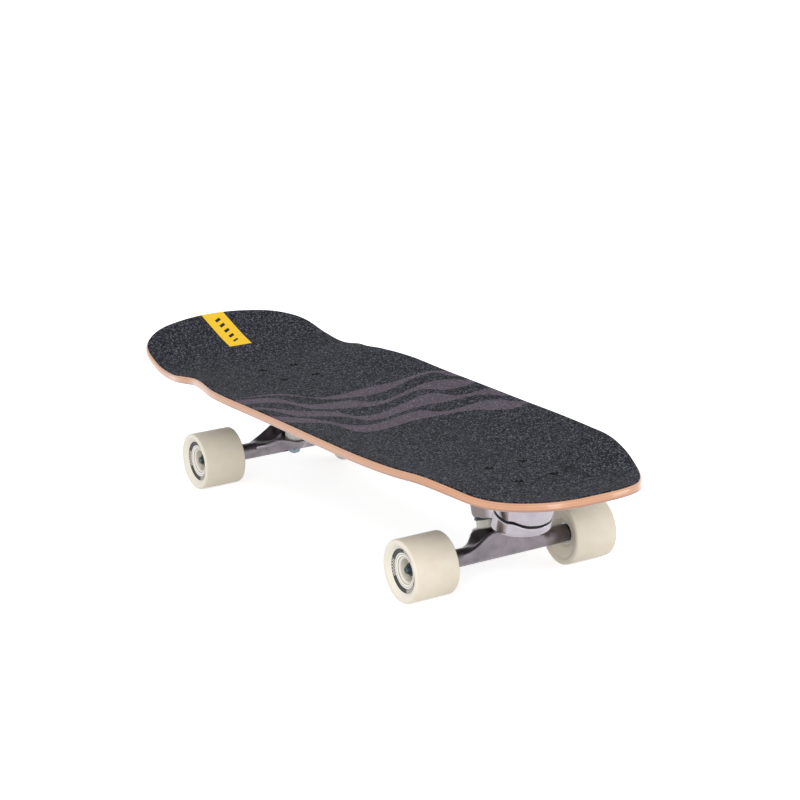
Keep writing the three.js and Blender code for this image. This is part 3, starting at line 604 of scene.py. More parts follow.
FINISHES = {
    "grip": GritTape(),
    "maple": PressedMaple(),
    "urethane": PouredUrethane(),
    "bearing": ShieldedBearing(),
    # Gravity-cast aluminium, tumbled: half gloss, with soft clouds and a fine orange-peel grain
    "cast_aluminium": Metal("tumbled_cast_aluminium", "#8f888d", "#787278", (0.26, 0.38), 14, 0.9, 0.03),
    # Cast aluminium, buffed: bright with soft, wide reflections, and painted shade that darkens it towards
    # the middle of the board
    "polished_aluminium": Metal("buffed_cast_aluminium", "#b8b1b8", "#a9a2aa", (0.16, 0.26), 16, 0.8, 0.02,
                                "#7a716f"),
    # Zinc-plated steel: pale, slightly blue and glossy
    "zinc_steel": Metal("zinc_plated_steel", "#94a1a8", "#7b898f", (0.22, 0.34), 4, 0.5, 0.01),
    # Zinc-plated steel in a darker copy: painted shade for the axles, their nuts and the washers, which sit
    # in shade
    "shaded_zinc_steel": Metal("shaded_zinc_steel", "#414b4f", "#333b3f", (0.24, 0.38), 4, 0.5, 0.01),
    # Black oxide on steel: nearly black with a weak oily shine
    "black_steel": Metal("black_oxide_steel", "#242427", "#1a1a1c", (0.32, 0.45), 3, 0.4, 0.01),
    # Oil-tempered spring steel: dark grey wire
    "spring_steel": Metal("oil_tempered_steel", "#55575a", "#45474a", (0.3, 0.42), 5, 0.5, 0.01),
    # Clear urethane bushing: whitish, a little green, lets light sink in
    "bushing": Plastic("clear_urethane", "#f3f2e8", "#ebebdd", (0.22, 0.32), 0.05, 0.5, 0.7, 0.01),
    # Moulded rubber: matt black, faintly cloudy
    "black_rubber": Plastic("moulded_rubber", "#1f1f21", "#29292b", (0.6, 0.78)),
    # A near-black ring in the swivel's seam: painted shade that makes the seam read dark
    "seam_shade_ring": Plastic("seam_shade_rubber", "#0a0a0b", "#0d0d0e", (0.8, 0.95)),
}


# Surfaces

@dataclass(frozen=True)
class Skin:
    """A closed surface of triangles in millimetres, with a pattern place for each of their corners."""

    points: Array
    corners: Array
    pattern: Array

    def moved(self, turn: Array, origin: Array) -> "Skin":
        """The skin turned by a matrix and then moved."""
        return replace(self, points=self.points @ turn.T + origin)

    def at(self, x: float, y: float, z: float) -> "Skin":
        """The skin moved without a turn."""
        return replace(self, points=self.points + [x, y, z])


def grid_skin(grid: Array, pattern: Array | None = None) -> Skin:
    """Joins a grid of points into one closed skin.

    A row is a ring that closes on itself, and each row is joined to the next by two triangles a step.
    Points that coincide are merged, which closes the ends that shrink to a point or a line, and the
    triangles that vanish so are left out. The skin is turned so that its volume is positive.

    Args:
        grid: points by row and column.
        pattern: a pattern place by row and column, with one column more than the points.

    Returns:
        The skin.
    """
    rows, columns = grid.shape[:2]
    if pattern is None:
        pattern = np.zeros((rows, columns + 1, 2))
    row, column = np.meshgrid(np.arange(rows - 1), np.arange(columns), indexing="ij")
    quad_rows = np.stack([row, row, row + 1, row + 1], axis=-1).reshape(-1, 4)
    quad_columns = np.stack([column, column + 1, column + 1, column], axis=-1).reshape(-1, 4)
    at = quad_rows * columns + quad_columns % columns
    uv = pattern[quad_rows, quad_columns]
    corners = np.concatenate([at[:, [0, 1, 2]], at[:, [0, 2, 3]]])
    places = np.concatenate([uv[:, [0, 1, 2]], uv[:, [0, 2, 3]]])
    points = grid.reshape(-1, 3)
    _, first, inverse = np.unique(np.round(points / 1e-4).astype(np.int64), axis=0,
                                  return_index=True, return_inverse=True)
    corners = inverse.reshape(-1)[corners]
    kept = ((corners[:, 0] != corners[:, 1]) & (corners[:, 1] != corners[:, 2])
            & (corners[:, 2] != corners[:, 0]))
    corners, places, points = corners[kept], places[kept], points[first]
    a, b, c = points[corners[:, 0]], points[corners[:, 1]], points[corners[:, 2]]
    if np.einsum("ij,ij->", a, np.cross(b, c)) < 0:
        corners, places = corners[:, ::-1], places[:, ::-1]
    return Skin(points, corners, places)


def angles(steps: int, start: float = 0.0) -> Array:
    """Angles once round in even steps, the first one a share of a step along."""
    return (np.arange(steps) + start) / steps * 2 * np.pi


def quarter(radius: float, steps: int) -> list[Pair]:
    """A rounded edge: how far its points lie in from one face and below the other."""
    return [(radius * (1 - math.cos(a)), radius * (1 - math.sin(a)))
            for a in np.linspace(0, np.pi / 2, steps)]


def cubic(t: Array, start: Array, end: Array, leave: Array, arrive: Array) -> Array:
    """A cubic from start to end with given slopes at both: the Hermite form.

    Args:
        t: shares of the way, from 0 to 1.
        start: the values at 0.
        end: the values at 1.
        leave: the slopes at 0.
        arrive: the slopes at 1.

    Returns:
        The values at the shares.
    """
    return ((2 * t ** 3 - 3 * t ** 2 + 1) * start + (t ** 3 - 2 * t ** 2 + t) * leave
            + (3 * t ** 2 - 2 * t ** 3) * end + (t ** 3 - t ** 2) * arrive)


def through(place: Array, at: Array, value: Array, rates: Array) -> Array:
    """Values between a table's rows, by a cubic from each row to the next.

    Args:
        place: where the values are wanted.
        at: the rows' places, rising.
        value: the rows' values.
        rates: the slopes at the rows.

    Returns:
        The values at the places.
    """
    left = np.clip(np.searchsorted(at, place, side="right") - 1, 0, len(at) - 2)
    width = np.diff(at)[left]
    t = np.clip((place - at[left]) / width, 0, 1)
    return cubic(t, value[left], value[left + 1], width * rates[left], width * rates[left + 1])


def eased(place: Array, at: Array, value: Array) -> Array:
    """Values between a table's rows, by cubics whose slopes never overshoot.

    The slope at a row is the harmonic mean of the slopes beside it, or zero where they differ in sign.

    Args:
        place: where the values are wanted.
        at: the rows' places, rising.
        value: the rows' values.

    Returns:
        The values at the places.
    """
    slope = np.diff(value) / np.diff(at)
    with np.errstate(divide="ignore", invalid="ignore"):
        inner = 2 * slope[:-1] * slope[1:] / (slope[:-1] + slope[1:])
    inner = np.where(slope[:-1] * slope[1:] > 0, inner, 0.0)
    return through(place, at, value, np.concatenate([[0.0], inner, slope[-1:]]))


def lathe(profile: Array, sides: int, marks: Array | None = None) -> Skin:
    """Turns a profile about Z: point = (radius cos angle, radius sin angle, height).

    Args:
        profile: rows of radius and height, from axis to axis or closed on itself.
        sides: how many steps a turn has.
        marks: the pattern's second value for each row; the first is the share of the turn.

    Returns:
        The skin.
    """
    angle = angles(sides)
    radius, height = profile[:, :1], profile[:, 1:2]
    grid = np.stack([radius * np.cos(angle), radius * np.sin(angle),
                     np.broadcast_to(height, (len(profile), sides))], axis=-1)
    pattern = np.zeros((len(profile), sides + 1, 2))
    pattern[:, :, 0] = np.arange(sides + 1) / sides
    if marks is not None:
        pattern[:, :, 1] = marks[:, None]
    return grid_skin(grid, pattern)


def filleted(corners: list[Triple], closed: bool = False, steps: int = 5) -> Array:
    """A profile whose corners are rounded by a parabola between its two touching points.

    Args:
        corners: radius, height and fillet of each corner.
        closed: whether the last corner joins the first.
        steps: how many steps a fillet has.

    Returns:
        Rows of radius and height.
    """
    table = np.array(corners, float)
    rows = []
    for i, (radius, height, fillet) in enumerate(table):
        here = np.array([radius, height])
        at_end = not closed and i in (0, len(table) - 1)
        if fillet == 0 or at_end:
            rows.append(here[None])
            continue
        before, after = table[i - 1, :2] - here, table[(i + 1) % len(table), :2] - here
        reach = min(fillet, 0.48 * np.linalg.norm(before), 0.48 * np.linalg.norm(after))
        start = here + before / np.linalg.norm(before) * reach
        end = here + after / np.linalg.norm(after) * reach
        t = np.linspace(0, 1, steps + 1)[:, None]
        rows.append((1 - t) ** 2 * start + 2 * t * (1 - t) * here + t ** 2 * end)
    profile = np.concatenate(rows)
    return np.concatenate([profile, profile[:1]]) if closed else profile


def spun(corners: list[Triple], sides: int, closed: bool = False, steps: int = 5) -> Skin:
    """A profile of radius, height and fillet at each corner, turned about Z."""
    return lathe(filleted(corners, closed, steps), sides)


def rod(radius: float, base: float, top: float) -> Skin:
    """A plain round bar about Z."""
    return lathe(np.array([(0.0, base), (radius, base), (radius, top), (0.0, top)]), 48)


def slab(length: float, width: float, corner: float, base: float, top: float, edge: float) -> Skin:
    """A flat plate with round corners and rounded rims.

    A point of the outline is the corner's centre plus its radius along the angle; the corner's centre
    jumps from one corner to the next as the angle passes each quarter turn.

    Args:
        length: size along X.
        width: size along Y.
        corner: radius of the corners.
        base: height of the underside.
        top: height of the top face.
        edge: rounding of the rims.

    Returns:
        The skin.
    """
    angle = angles(96, 0.5)
    way = np.stack([np.cos(angle), np.sin(angle)], axis=-1)
    centre = np.sign(way) * [length / 2 - corner, width / 2 - corner]
    profile = filleted([(-corner, base, 0), (0, base, edge), (0, top, edge), (-corner, top, 0)])
    inset, height = profile[:, 0][:, None, None], profile[:, 1]
    flat = centre + way * (corner + inset)
    grid = np.concatenate([flat, np.broadcast_to(height[:, None, None], (*flat.shape[:2], 1))], axis=-1)
    middle = 0 * grid[:1]
    return grid_skin(np.concatenate([middle + [0, 0, base], grid, middle + [0, 0, top]]))


def circle(centre: Array, radius: float, axis: Array) -> Array:
    """Points of a circle: centre + radius (cos angle, sin angle) on two axes square to its own."""
    angle = angles(72)
    return radius * np.stack([np.cos(angle), np.sin(angle), 0 * angle], axis=-1) @ turn_to(axis).T + centre


def rounded_hull(clouds: list[Array], edge: float) -> Skin:
    """The tight skin round some points, with rounded edges.

    For each direction on a sphere, the skin's point is the one that lies furthest along that direction,
    moved out along it by the edge radius.

    Args:
        clouds: the points, drawn in by the edge radius.
        edge: the edge radius.

    Returns:
        The skin.
    """
    turns, rows = 128, 72
    points = np.concatenate(clouds)
    turn = angles(turns)
    rise = np.linspace(-np.pi / 2, np.pi / 2, rows)[:, None]
    way = np.stack([np.cos(rise) * np.cos(turn), np.cos(rise) * np.sin(turn),
                    np.broadcast_to(np.sin(rise), (rows, turns))], axis=-1)
    furthest = points[np.argmax(way @ points.T, axis=-1)]
    return grid_skin(furthest + way * edge)


def turn_to(axis: Array) -> Array:
    """The shortest turn that lays Z along an axis, as a matrix."""
    return np.array(Vector((0, 0, 1)).rotation_difference(Vector(axis)).to_matrix())


def along(skin: Skin, origin: Array, axis: Array) -> Skin:
    """A skin made about Z, moved so that its Z runs along an axis from an origin."""
    return skin.moved(turn_to(axis), origin)


def hex_nut(flats: float, hole: float, base: float, top: float) -> Skin:
    """A chamfered hexagon nut about Z.

    The outline's radius is the half width over the cosine of the angle from the nearest flat's middle,
    and the rims drop where that radius goes past the half width.

    Args:
        flats: width over the flats.
        hole: radius of the hole.
        base: height of one face.
        top: height of the other.

    Returns:
        The skin.
    """
    angle = angles(72)
    outline = flats / 2 / np.cos((angle + np.pi / 6) % (np.pi / 3) - np.pi / 6)
    drop = (outline - flats / 2) * 0.6 + 0.15
    inner = flats / 2 * 0.96
    rows = [(hole, base), (inner, base), (outline, base + drop), (outline, top - drop), (inner, top),
            (hole, top), (hole, base)]
    return grid_skin(np.stack([
        np.stack([r * np.cos(angle), r * np.sin(angle), h + 0 * angle], axis=-1) for r, h in rows]))


# Meshes

def put(name: str, data: bpy.types.ID) -> Object:
    """Puts a new object into the scene.

    Args:
        name: the object's name.
        data: its mesh, lamp or camera.

    Returns:
        The new object.
    """
    made = bpy.data.objects.new(name, data)
    bpy.context.scene.collection.objects.link(made)
    return made


def put_mesh(name: str, skins: list[Skin]) -> Object:
    """Makes an object from skins, in metres, with its pattern places.

    Args:
        name: the object's name.
        skins: its skins in millimetres.

    Returns:
        The new object.
    """
    starts = np.cumsum([0, *[len(s.points) for s in skins[:-1]]])
    points = np.concatenate([s.points for s in skins]) * MILLIMETRE
    corners = np.concatenate([s.corners + start for s, start in zip(skins, starts)])
    pattern = np.concatenate([s.pattern for s in skins])
    mesh = bpy.data.meshes.new(name)
    mesh.from_pydata(points.tolist(), [], corners.tolist())
    layer = mesh.uv_layers.new(name="pattern")
    layer.data.foreach_set("uv", pattern.astype(np.float32).ravel())
    return put(name, mesh)


def smooth(made: Object, angle: float = 32.0) -> None:
    """Shades a mesh smooth and keeps the edges that turn by more than an angle crisp."""
    made.data.shade_smooth()
    made.data.set_sharp_from_angle(angle=math.radians(angle))


def settled(made: Object) -> None:
    """Turns an object's modifiers into its mesh.

    Args:
        made: the object.
    """
    graph = bpy.context.evaluated_depsgraph_get()
    mesh = bpy.data.meshes.new_from_object(made.evaluated_get(graph))
    made.modifiers.clear()
    made.data = mesh


def cut_out(made: Object, tools: list[Skin]) -> None:
    """Cuts skins out of an object, one after the other.

    Args:
        made: the object.
        tools: the skins that are cut out.
    """
    cutters = [put_mesh(f"{made.name}_cut", [tool]) for tool in tools]
    for cutter in cutters:
        cut = made.modifiers.new("cut", "BOOLEAN")
        cut.operation = "DIFFERENCE"
        cut.solver = "EXACT"
        cut.object = cutter
    settled(made)
    for cutter in cutters:
        bpy.data.objects.remove(cutter)


def casting(name: str, skins: list[Skin], voxel_mm: float, rounds: int,
            cuts: list[Skin]) -> Object:
    """Melts overlapping skins into one, with soft inner corners as a casting has, and machines it.

    Args:
        name: the object's name.
        skins: the overlapping skins.
        voxel_mm: the size of the cells that the surface is rebuilt on.
        rounds: how many times the surface is smoothed.
        cuts: the skins that are cut out.

    Returns:
        The finished object.
    """
    made = put_mesh(name, skins)
    melt = made.modifiers.new("melt", "REMESH")
    melt.mode = "VOXEL"
    melt.voxel_size = voxel_mm * MILLIMETRE * 1
    soften = made.modifiers.new("soften", "SMOOTH")
    soften.factor = 0.5
    soften.iterations = rounds
    settled(made)
    cut_out(made, cuts)
    smooth(made, 40)
    return made


@dataclass
class Wardrobe:
    """Knows each node's body and slot, and gives pieces their finish."""

    bodies: dict[str, str] = field(default_factory=dict)
    slots: dict[str, str] = field(default_factory=dict)
    made: dict[str, bpy.types.Material] = field(default_factory=dict)

    def __post_init__(self) -> None:
        """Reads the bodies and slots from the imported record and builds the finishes."""
        record = frame["record"]
        for body, nodes in record["behaviour"]["bodies"].items():
            self.bodies.update({node: body for node in nodes})
        self.slots = {part["node"]: part["material_slot"] for part in record["subparts"]}
        self.made = {name: finish.build() for name, finish in FINISHES.items()}

    def stand_in(self, node: str, made: Object, finish: str = "") -> None:
        """Lets a finished piece take a node's place.

        Args:
            node: the node that it stands for.
            made: the piece, at its place.
            finish: the finish's name; without one, the node's slot gives it.
        """
        made.data.materials.clear()
        made.data.materials.append(self.made[finish or self.slots[node]])
        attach(made, self.bodies[node])
        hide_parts(node)
        LOG.info("%s takes the place of %s", made.name, node)

    def fit(self, node: str, name: str, skins: list[Skin], finish: str = "") -> None:
        """Makes a smooth piece of skins that takes a node's place.

        Args:
            node: the node that it stands for.
            name: the piece's name.
            skins: its skins, at their place.
            finish: the finish's name; without one, the node's slot gives it.
        """
        made = put_mesh(name, skins)
        smooth(made)
        self.stand_in(node, made, finish)

    def dress(self, node: str) -> None:
        """Gives a node that stays the finish of its slot.

        Args:
            node: the node's name.
        """
        shown = frame["nodes"][node]
        shown.data.materials.clear()
        shown.data.materials.append(self.made[self.slots[node]])
        LOG.info("%s keeps its shape", node)


# Deck and grip tape

@dataclass
class DeckShape:
    """The deck's outline and surface, in sizes and in shares of its length and width."""

    length: float = 831.0
    width: float = 260.6
    thickness: float = 8.8
    edge: float = 2.5
    top: float = 123.7
    spine_inset: float = 105.0
    tail_kick: Triple = (154.7, 111.4, 312.0)
    nose_kick: Triple = (87.4, 87.4, 274.0)
    rail_rise: float = 13.8
    rail_power: float = 1.8
    rail_start: float = 0.14
    probe: float = 0.5
    half_steps: int = 190
    outline: tuple[Pair, ...] = (
        (-1, 0), (-0.989, 0.34), (-0.957, 0.645), (-0.897, 0.845), (-0.8, 0.906), (-0.692, 0.925),
        (-0.62, 0.946), (-0.548, 0.921), (-0.475, 0.949), (-0.367, 1), (-0.126, 0.986), (0.211, 0.971),
        (0.404, 0.96), (0.548, 0.927), (0.693, 0.853), (0.8, 0.752), (0.873, 0.64), (0.934, 0.506),
        (0.975, 0.371), (0.994, 0.198), (1, 0))
    rails: tuple[Pair, ...] = (
        (-1, 0), (-0.79, 0), (-0.7, 0.2), (-0.61, 0.67), (-0.51, 1.05), (-0.37, 0.94), (0, 1),
        (0.45, 1.13), (0.55, 1.28), (0.66, 1.58), (0.74, 1.48), (0.84, 1.06), (1, 1.05))

    def rail_share(self, place: Array) -> Array:
        """How strongly the rails rise: a cubic through the table's points.

        Its slope at a point is the mean of the slopes on both sides, and zero at the two ends.

        Args:
            place: shares of the half length.

        Returns:
            The table's smooth values there.
        """
        at, value = np.array(self.rails, float).T
        slope = np.diff(value) / np.diff(at)
        return through(place, at, value, np.concatenate([[0.0], (slope[:-1] + slope[1:]) / 2, [0.0]]))

    def kick(self, distance: Array, bend: float, radius: float) -> Array:
        """Height of a kick: a round bend of the given length that runs out into a straight slope.

        Args:
            distance: how far the points lie beyond the kick's start.
            bend: how long the round part is.
            radius: its radius.

        Returns:
            The heights.
        """
        on_bend = np.clip(distance, 0, bend)
        beyond = np.clip(distance - bend, 0, None)
        return (on_bend ** 2 / 2 + beyond * on_bend) / radius

    def height(self, x: Array, y: Array) -> Array:
        """Height of the top face: both kicks and the raised rails.

        Args:
            x: places along the board.
            y: places across it.

        Returns:
            The heights over those plan points.
        """
        start, bend, radius = self.tail_kick
        tail = self.kick(start - self.length / 2 - x, bend, radius)
        start, bend, radius = self.nose_kick
        nose = self.kick(x - self.length / 2 + start, bend, radius)
        side = np.clip(np.abs(y) / (self.width / 2) - self.rail_start, 0, None) / (1 - self.rail_start)
        rail = self.rail_rise * self.rail_share(x / (self.length / 2)) * side ** self.rail_power
        return self.top + tail + nose + rail

    def lifted(self, x: Array, y: Array, lift: float) -> Array:
        """Points of the top face, moved along its normal.

        Args:
            x: places along the board.
            y: places across it.
            lift: how far the points are moved.

        Returns:
            The points.
        """
        h = self.probe
        step_x = self.height(x + h, y) - self.height(x - h, y)
        step_y = self.height(x, y + h) - self.height(x, y - h)
        normal = np.stack([-step_x, -step_y, np.full_like(step_x, 2 * h)], axis=-1)
        normal /= np.linalg.norm(normal, axis=-1, keepdims=True)
        return np.stack([x, y, self.height(x, y)], axis=-1) + normal * lift

    def plan(self) -> tuple[Array, Array]:
        """The outline's plan points and outward normals, once round from the tail end.

        The curve through the table's points is a centripetal Catmull-Rom spline: each stretch is a cubic
        whose end slopes come from the square roots of the distances to its neighbours.

        Returns:
            The points and the normals.
        """
        left = np.array(self.outline, float) * [self.length / 2, self.width / 2]
        ring = np.concatenate([left, left[-2:0:-1] * [1, -1]])
        even = np.arange(self.half_steps + 1) / self.half_steps
        place = (even + (1 - np.cos(np.pi * even)) / 2) / 4 * len(ring)
        start = np.minimum(np.floor(place).astype(int), len(ring) // 2)
        t = (place - start)[:, None]
        p0, p1, p2, p3 = (ring[(start + k) % len(ring)] for k in (-1, 0, 1, 2))
        d0, d1, d2 = (np.linalg.norm(b - a, axis=1)[:, None] ** 0.5
                      for a, b in ((p0, p1), (p1, p2), (p2, p3)))
        m1 = ((p1 - p0) / d0 - (p2 - p0) / (d0 + d1) + (p2 - p1) / d1) * d1
        m2 = ((p2 - p1) / d1 - (p3 - p1) / (d1 + d2) + (p3 - p2) / d2) * d1
        points = cubic(t, p1, p2, m1, m2)
        slope = 6 * t * (1 - t) * (p2 - p1) + (1 - t) * (1 - 3 * t) * m1 + t * (3 * t - 2) * m2
        normals = np.stack([-slope[:, 1], slope[:, 0]], axis=-1)
        normals /= np.linalg.norm(normals, axis=1, keepdims=True)
        normals[0], normals[-1] = (-1, 0), (1, 0)
        points[0, 1], points[-1, 1] = 0, 0
        mirror = np.array([1, -1])
        return (np.concatenate([points, points[-2:0:-1] * mirror]),
                np.concatenate([normals, normals[-2:0:-1] * mirror]))

    def rings(self, steps: list[Triple]) -> Array:
        """Rings over the deck, from its middle line to its outline.

        Args:
            steps: each ring's inset, its share of the way from the middle line, and its lift.

        Returns:
            The points by ring.
        """
        points, normals = self.plan()
        end = self.length / 2 - self.spine_inset
        rows = []
        for inset, share, lift in steps:
            edge = points - normals * inset
            spine = np.stack([np.clip(edge[:, 0], -end, end), np.zeros(len(edge))], axis=-1)
            x, y = (spine + (edge - spine) * share).T
            rows.append(self.lifted(x, y, lift))
        return np.stack(rows)


@dataclass
class Board:
    """The deck, its grip tape and the bolts through them.

    A bolt pattern has the place of its middle and the height of the face that its nuts press on.
    """

    wardrobe: Wardrobe
    shape: DeckShape = field(default_factory=DeckShape)
    nose_bolts: Pair = (276.0, 106.6)
    tail_bolts: Pair = (-212.4, 91.3)
    bolt_long: float = 53.9
    bolt_wide: float = 41.3
    bolt_radius: float = 2.4
    head_radius: float = 4.7
    head_rim: float = 0.8
    head_cone: float = 2.4
    socket_radius: float = 1.7
    grip_inset: float = 1.5
    grip_top: float = 1.3
    grip_edge: float = 0.4
    grip_bed: float = 0.06
    nut_flats: float = 8.0
    nut_height: float = 4.4
    bolt_tail: float = 1.5
    shares: int = 26
    hole_mark: float = 0.02

    def corners(self, middle_x: float) -> list[Triple]:
        """The four bolt places round a middle, in the frame's order."""
        half_long, half_wide = self.bolt_long / 2, self.bolt_wide / 2
        return [(middle_x + i * half_long, j * half_wide, 0.0) for i in (-1, 1) for j in (-1, 1)]

    def places(self) -> list[Triple]:
        """All eight bolt places."""
        return [*self.corners(self.nose_bolts[0]), *self.corners(self.tail_bolts[0])]

    def deck(self) -> Object:
        """The wooden deck: a top and a bottom face of rings, joined by a rounded edge.

        Returns:
            The finished object, with countersunk holes.
        """
        shape = self.shape
        shares = np.linspace(0, 1, self.shares)
        low = shape.thickness
        upper = [(inset, 1.0, -drop) for drop, inset in quarter(shape.edge, 7)]
        lower = [(inset, share, -low - lift) for inset, share, lift in reversed(upper)]
        steps = [*[(shape.edge, s, 0.0) for s in shares[:-1]], *upper, *lower,
                 *[(shape.edge, s, -low) for s in shares[-2::-1]]]
        grid = shape.rings(steps)
        rim = grid[self.shares]
        reach = np.linalg.norm(np.roll(rim, -1, axis=0) - rim, axis=1).cumsum()
        pattern = np.zeros((len(grid), grid.shape[1] + 1, 2))
        pattern[:, 1:, 0] = reach * MILLIMETRE
        pattern[:, :, 1] = np.array([-lift for _, _, lift in steps])[:, None] * MILLIMETRE
        made = put_mesh("deck_plies", [grid_skin(grid, pattern)])
        bore, head = self.bolt_radius + GAP, self.head_radius + GAP
        rim = -self.head_rim - GAP
        # The holes' walls carry a mark on which the maple finish paints shade
        hole = lathe(np.array([(0, -low - 2), (bore, -low - 2), (bore, rim - self.head_cone), (head, rim),
                               (head, 2), (0, 2)]) + [0, shape.top], 40, np.full(6, self.hole_mark))
        cut_out(made, [hole.at(*place) for place in self.places()])
        smooth(made)
        return made

    def grip(self) -> Object:
        """The grip tape: a sheet that follows the deck's top face, with a filed edge and bolt holes.

        Returns:
            The finished object.
        """
        shape, inset, top, bed = self.shape, self.grip_inset, self.grip_top, self.grip_bed
        shares = np.linspace(0, 1, self.shares)
        rim = [(inset + more, 1.0, top - drop) for more, drop in quarter(self.grip_edge, 4)]
        steps = [*[(shape.edge, s, bed) for s in shares], (inset, 1.0, bed), *rim,
                 *[(inset + self.grip_edge, s, top) for s in shares[-2::-1]]]
        made = put_mesh("grip_sheet", [grid_skin(shape.rings(steps))])
        hole = rod(self.head_radius + GAP, shape.top - 1, shape.top + 4)
        cut_out(made, [hole.at(*place) for place in self.places()])
        smooth(made)
        return made

    def bolt(self, length: float) -> Skin:
        """A countersunk bolt with a round socket, its head's top at height 0."""
        cone = -self.head_rim - self.head_cone
        return spun([
            (0, -length, 0), (self.bolt_radius, -length, 0.3), (self.bolt_radius, cone, 0.3),
            (self.head_radius, -self.head_rim, 0.2), (self.head_radius, 0, 0.3),
            (self.socket_radius + 0.5, 0, 0.2), (self.socket_radius, -0.6, 0.1),
            (self.socket_radius, -1.6, 0.1), (0, -1.6, 0)], 40)

    def build(self) -> None:
        """Makes the deck, grip, bolts and nuts."""
        self.wardrobe.stand_in("deck", self.deck())
        self.wardrobe.stand_in("grip_tape", self.grip())
        for prefix, (middle_x, pressed) in (("nose", self.nose_bolts), ("tail", self.tail_bolts)):
            nut_base = pressed - GAP - self.nut_height
            bolt = self.bolt(self.shape.top - nut_base + self.bolt_tail).at(0, 0, self.shape.top)
            nut = hex_nut(self.nut_flats, self.bolt_radius + 0.1, nut_base, nut_base + self.nut_height)
            for i, place in enumerate(self.corners(middle_x), start=1):
                for piece, skin in (("bolt", bolt), ("nut", nut)):
                    self.wardrobe.fit(f"{prefix}_deck_{piece}_{i}", f"{prefix}_turned_{piece}_{i}",
                                      [skin.at(*place)])


# Wheels

@dataclass
class WheelSet:
    """A wheel with its bearings and its axle nut, about Z from the middle of the truck outwards."""

    middle: float = 97.0
    # From this height over the wheel's middle on, its pattern holds the radius
    face_start: float = 7.0
    unmarked: float = 40.0
    bearings: Pair = (79.8, 97.3)
    bearing_width: float = 7.0
    nut_flats: float = 13.0
    nut_hole: float = 4.1
    nut_ends: Pair = (104.6, 110.6)
    # Radius, height and fillet of each corner, for the wheel, half a bearing and the nut's collar
    section: tuple[Triple, ...] = (
        (9, -9.9, 0.2), (9, 0, 0.2), (11.3, 0, 0.2), (11.3, 7.6, 0.2), (12, 7.6, 0.2), (12, 17.5, 0.9),
        (15.5, 19.6, 1.2), (22.4, 20.5, 0.7), (25.3, 23.5, 1.4), (28.3, 25.5, 2.2), (33, 25.5, 5.2),
        (33, -25.5, 5.2), (28.3, -25.5, 2.2), (25.3, -23.5, 1.4), (15.5, -20.5, 1.0), (12.8, -17.5, 0.6),
        (11.3, -17.5, 0.2), (11.3, -9.9, 0.2))
    races: tuple[Triple, ...] = (
        (4.2, 0, 0.2), (6.2, 0, 0.1), (6.3, 0.5, 0.05), (9.2, 0.5, 0.05), (9.3, 0, 0.1), (11, 0, 0.4))
    collar: tuple[Triple, ...] = (
        (4.1, 110.5, 0), (5.9, 110.5, 0.1), (5.6, 112.1, 0.6), (4.1, 112.1, 0.1))

    def wheel(self) -> Skin:
        """The wheel: rounded lips, a stepped face and its bearing seats.

        Returns:
            The skin, whose pattern has the radius on the outer face.
        """
        profile = filleted(list(self.section), closed=True, steps=7)
        marks = np.where(profile[:, 1] > self.face_start, profile[:, 0], self.unmarked)
        return lathe(profile, 128, marks).at(0, 0, self.middle)

    def bearing(self, base: float) -> Skin:
        """A bearing: two races with a sunk shield between them on both faces.

        Args:
            base: the place of its inner face.

        Returns:
            The skin, whose pattern is 1 on the shields.
        """
        top = base + self.bearing_width
        lower = [(radius, base + sunk, fillet) for radius, sunk, fillet in self.races]
        upper = [(radius, top - sunk, fillet) for radius, sunk, fillet in reversed(self.races)]
        profile = filleted([*lower, *upper], closed=True, steps=3)
        radius, height = profile.T
        shield = (height > base + 0.3) & (height < top - 0.3) & (radius > 6.1) & (radius < 9.4)
        return lathe(profile, 64, shield.astype(float))

    def pieces(self) -> dict[str, tuple[list[Skin], str]]:
        """All pieces of one wheel.

        Returns:
            Skins and finish by node ending.
        """
        inner, outer = (self.bearing(base) for base in self.bearings)
        nut = [hex_nut(self.nut_flats, self.nut_hole, *self.nut_ends),
               spun(list(self.collar), 40, closed=True)]
        # The axle nut takes the darker zinc copy: painted shade for its place deep in the wheel's bore
        return {"wheel": ([self.wheel()], "urethane"), "inner_bearing": ([inner], "bearing"),
                "outer_bearing": ([outer], "bearing"), "axle_nut": (nut, "shaded_zinc_steel")}


# Trucks

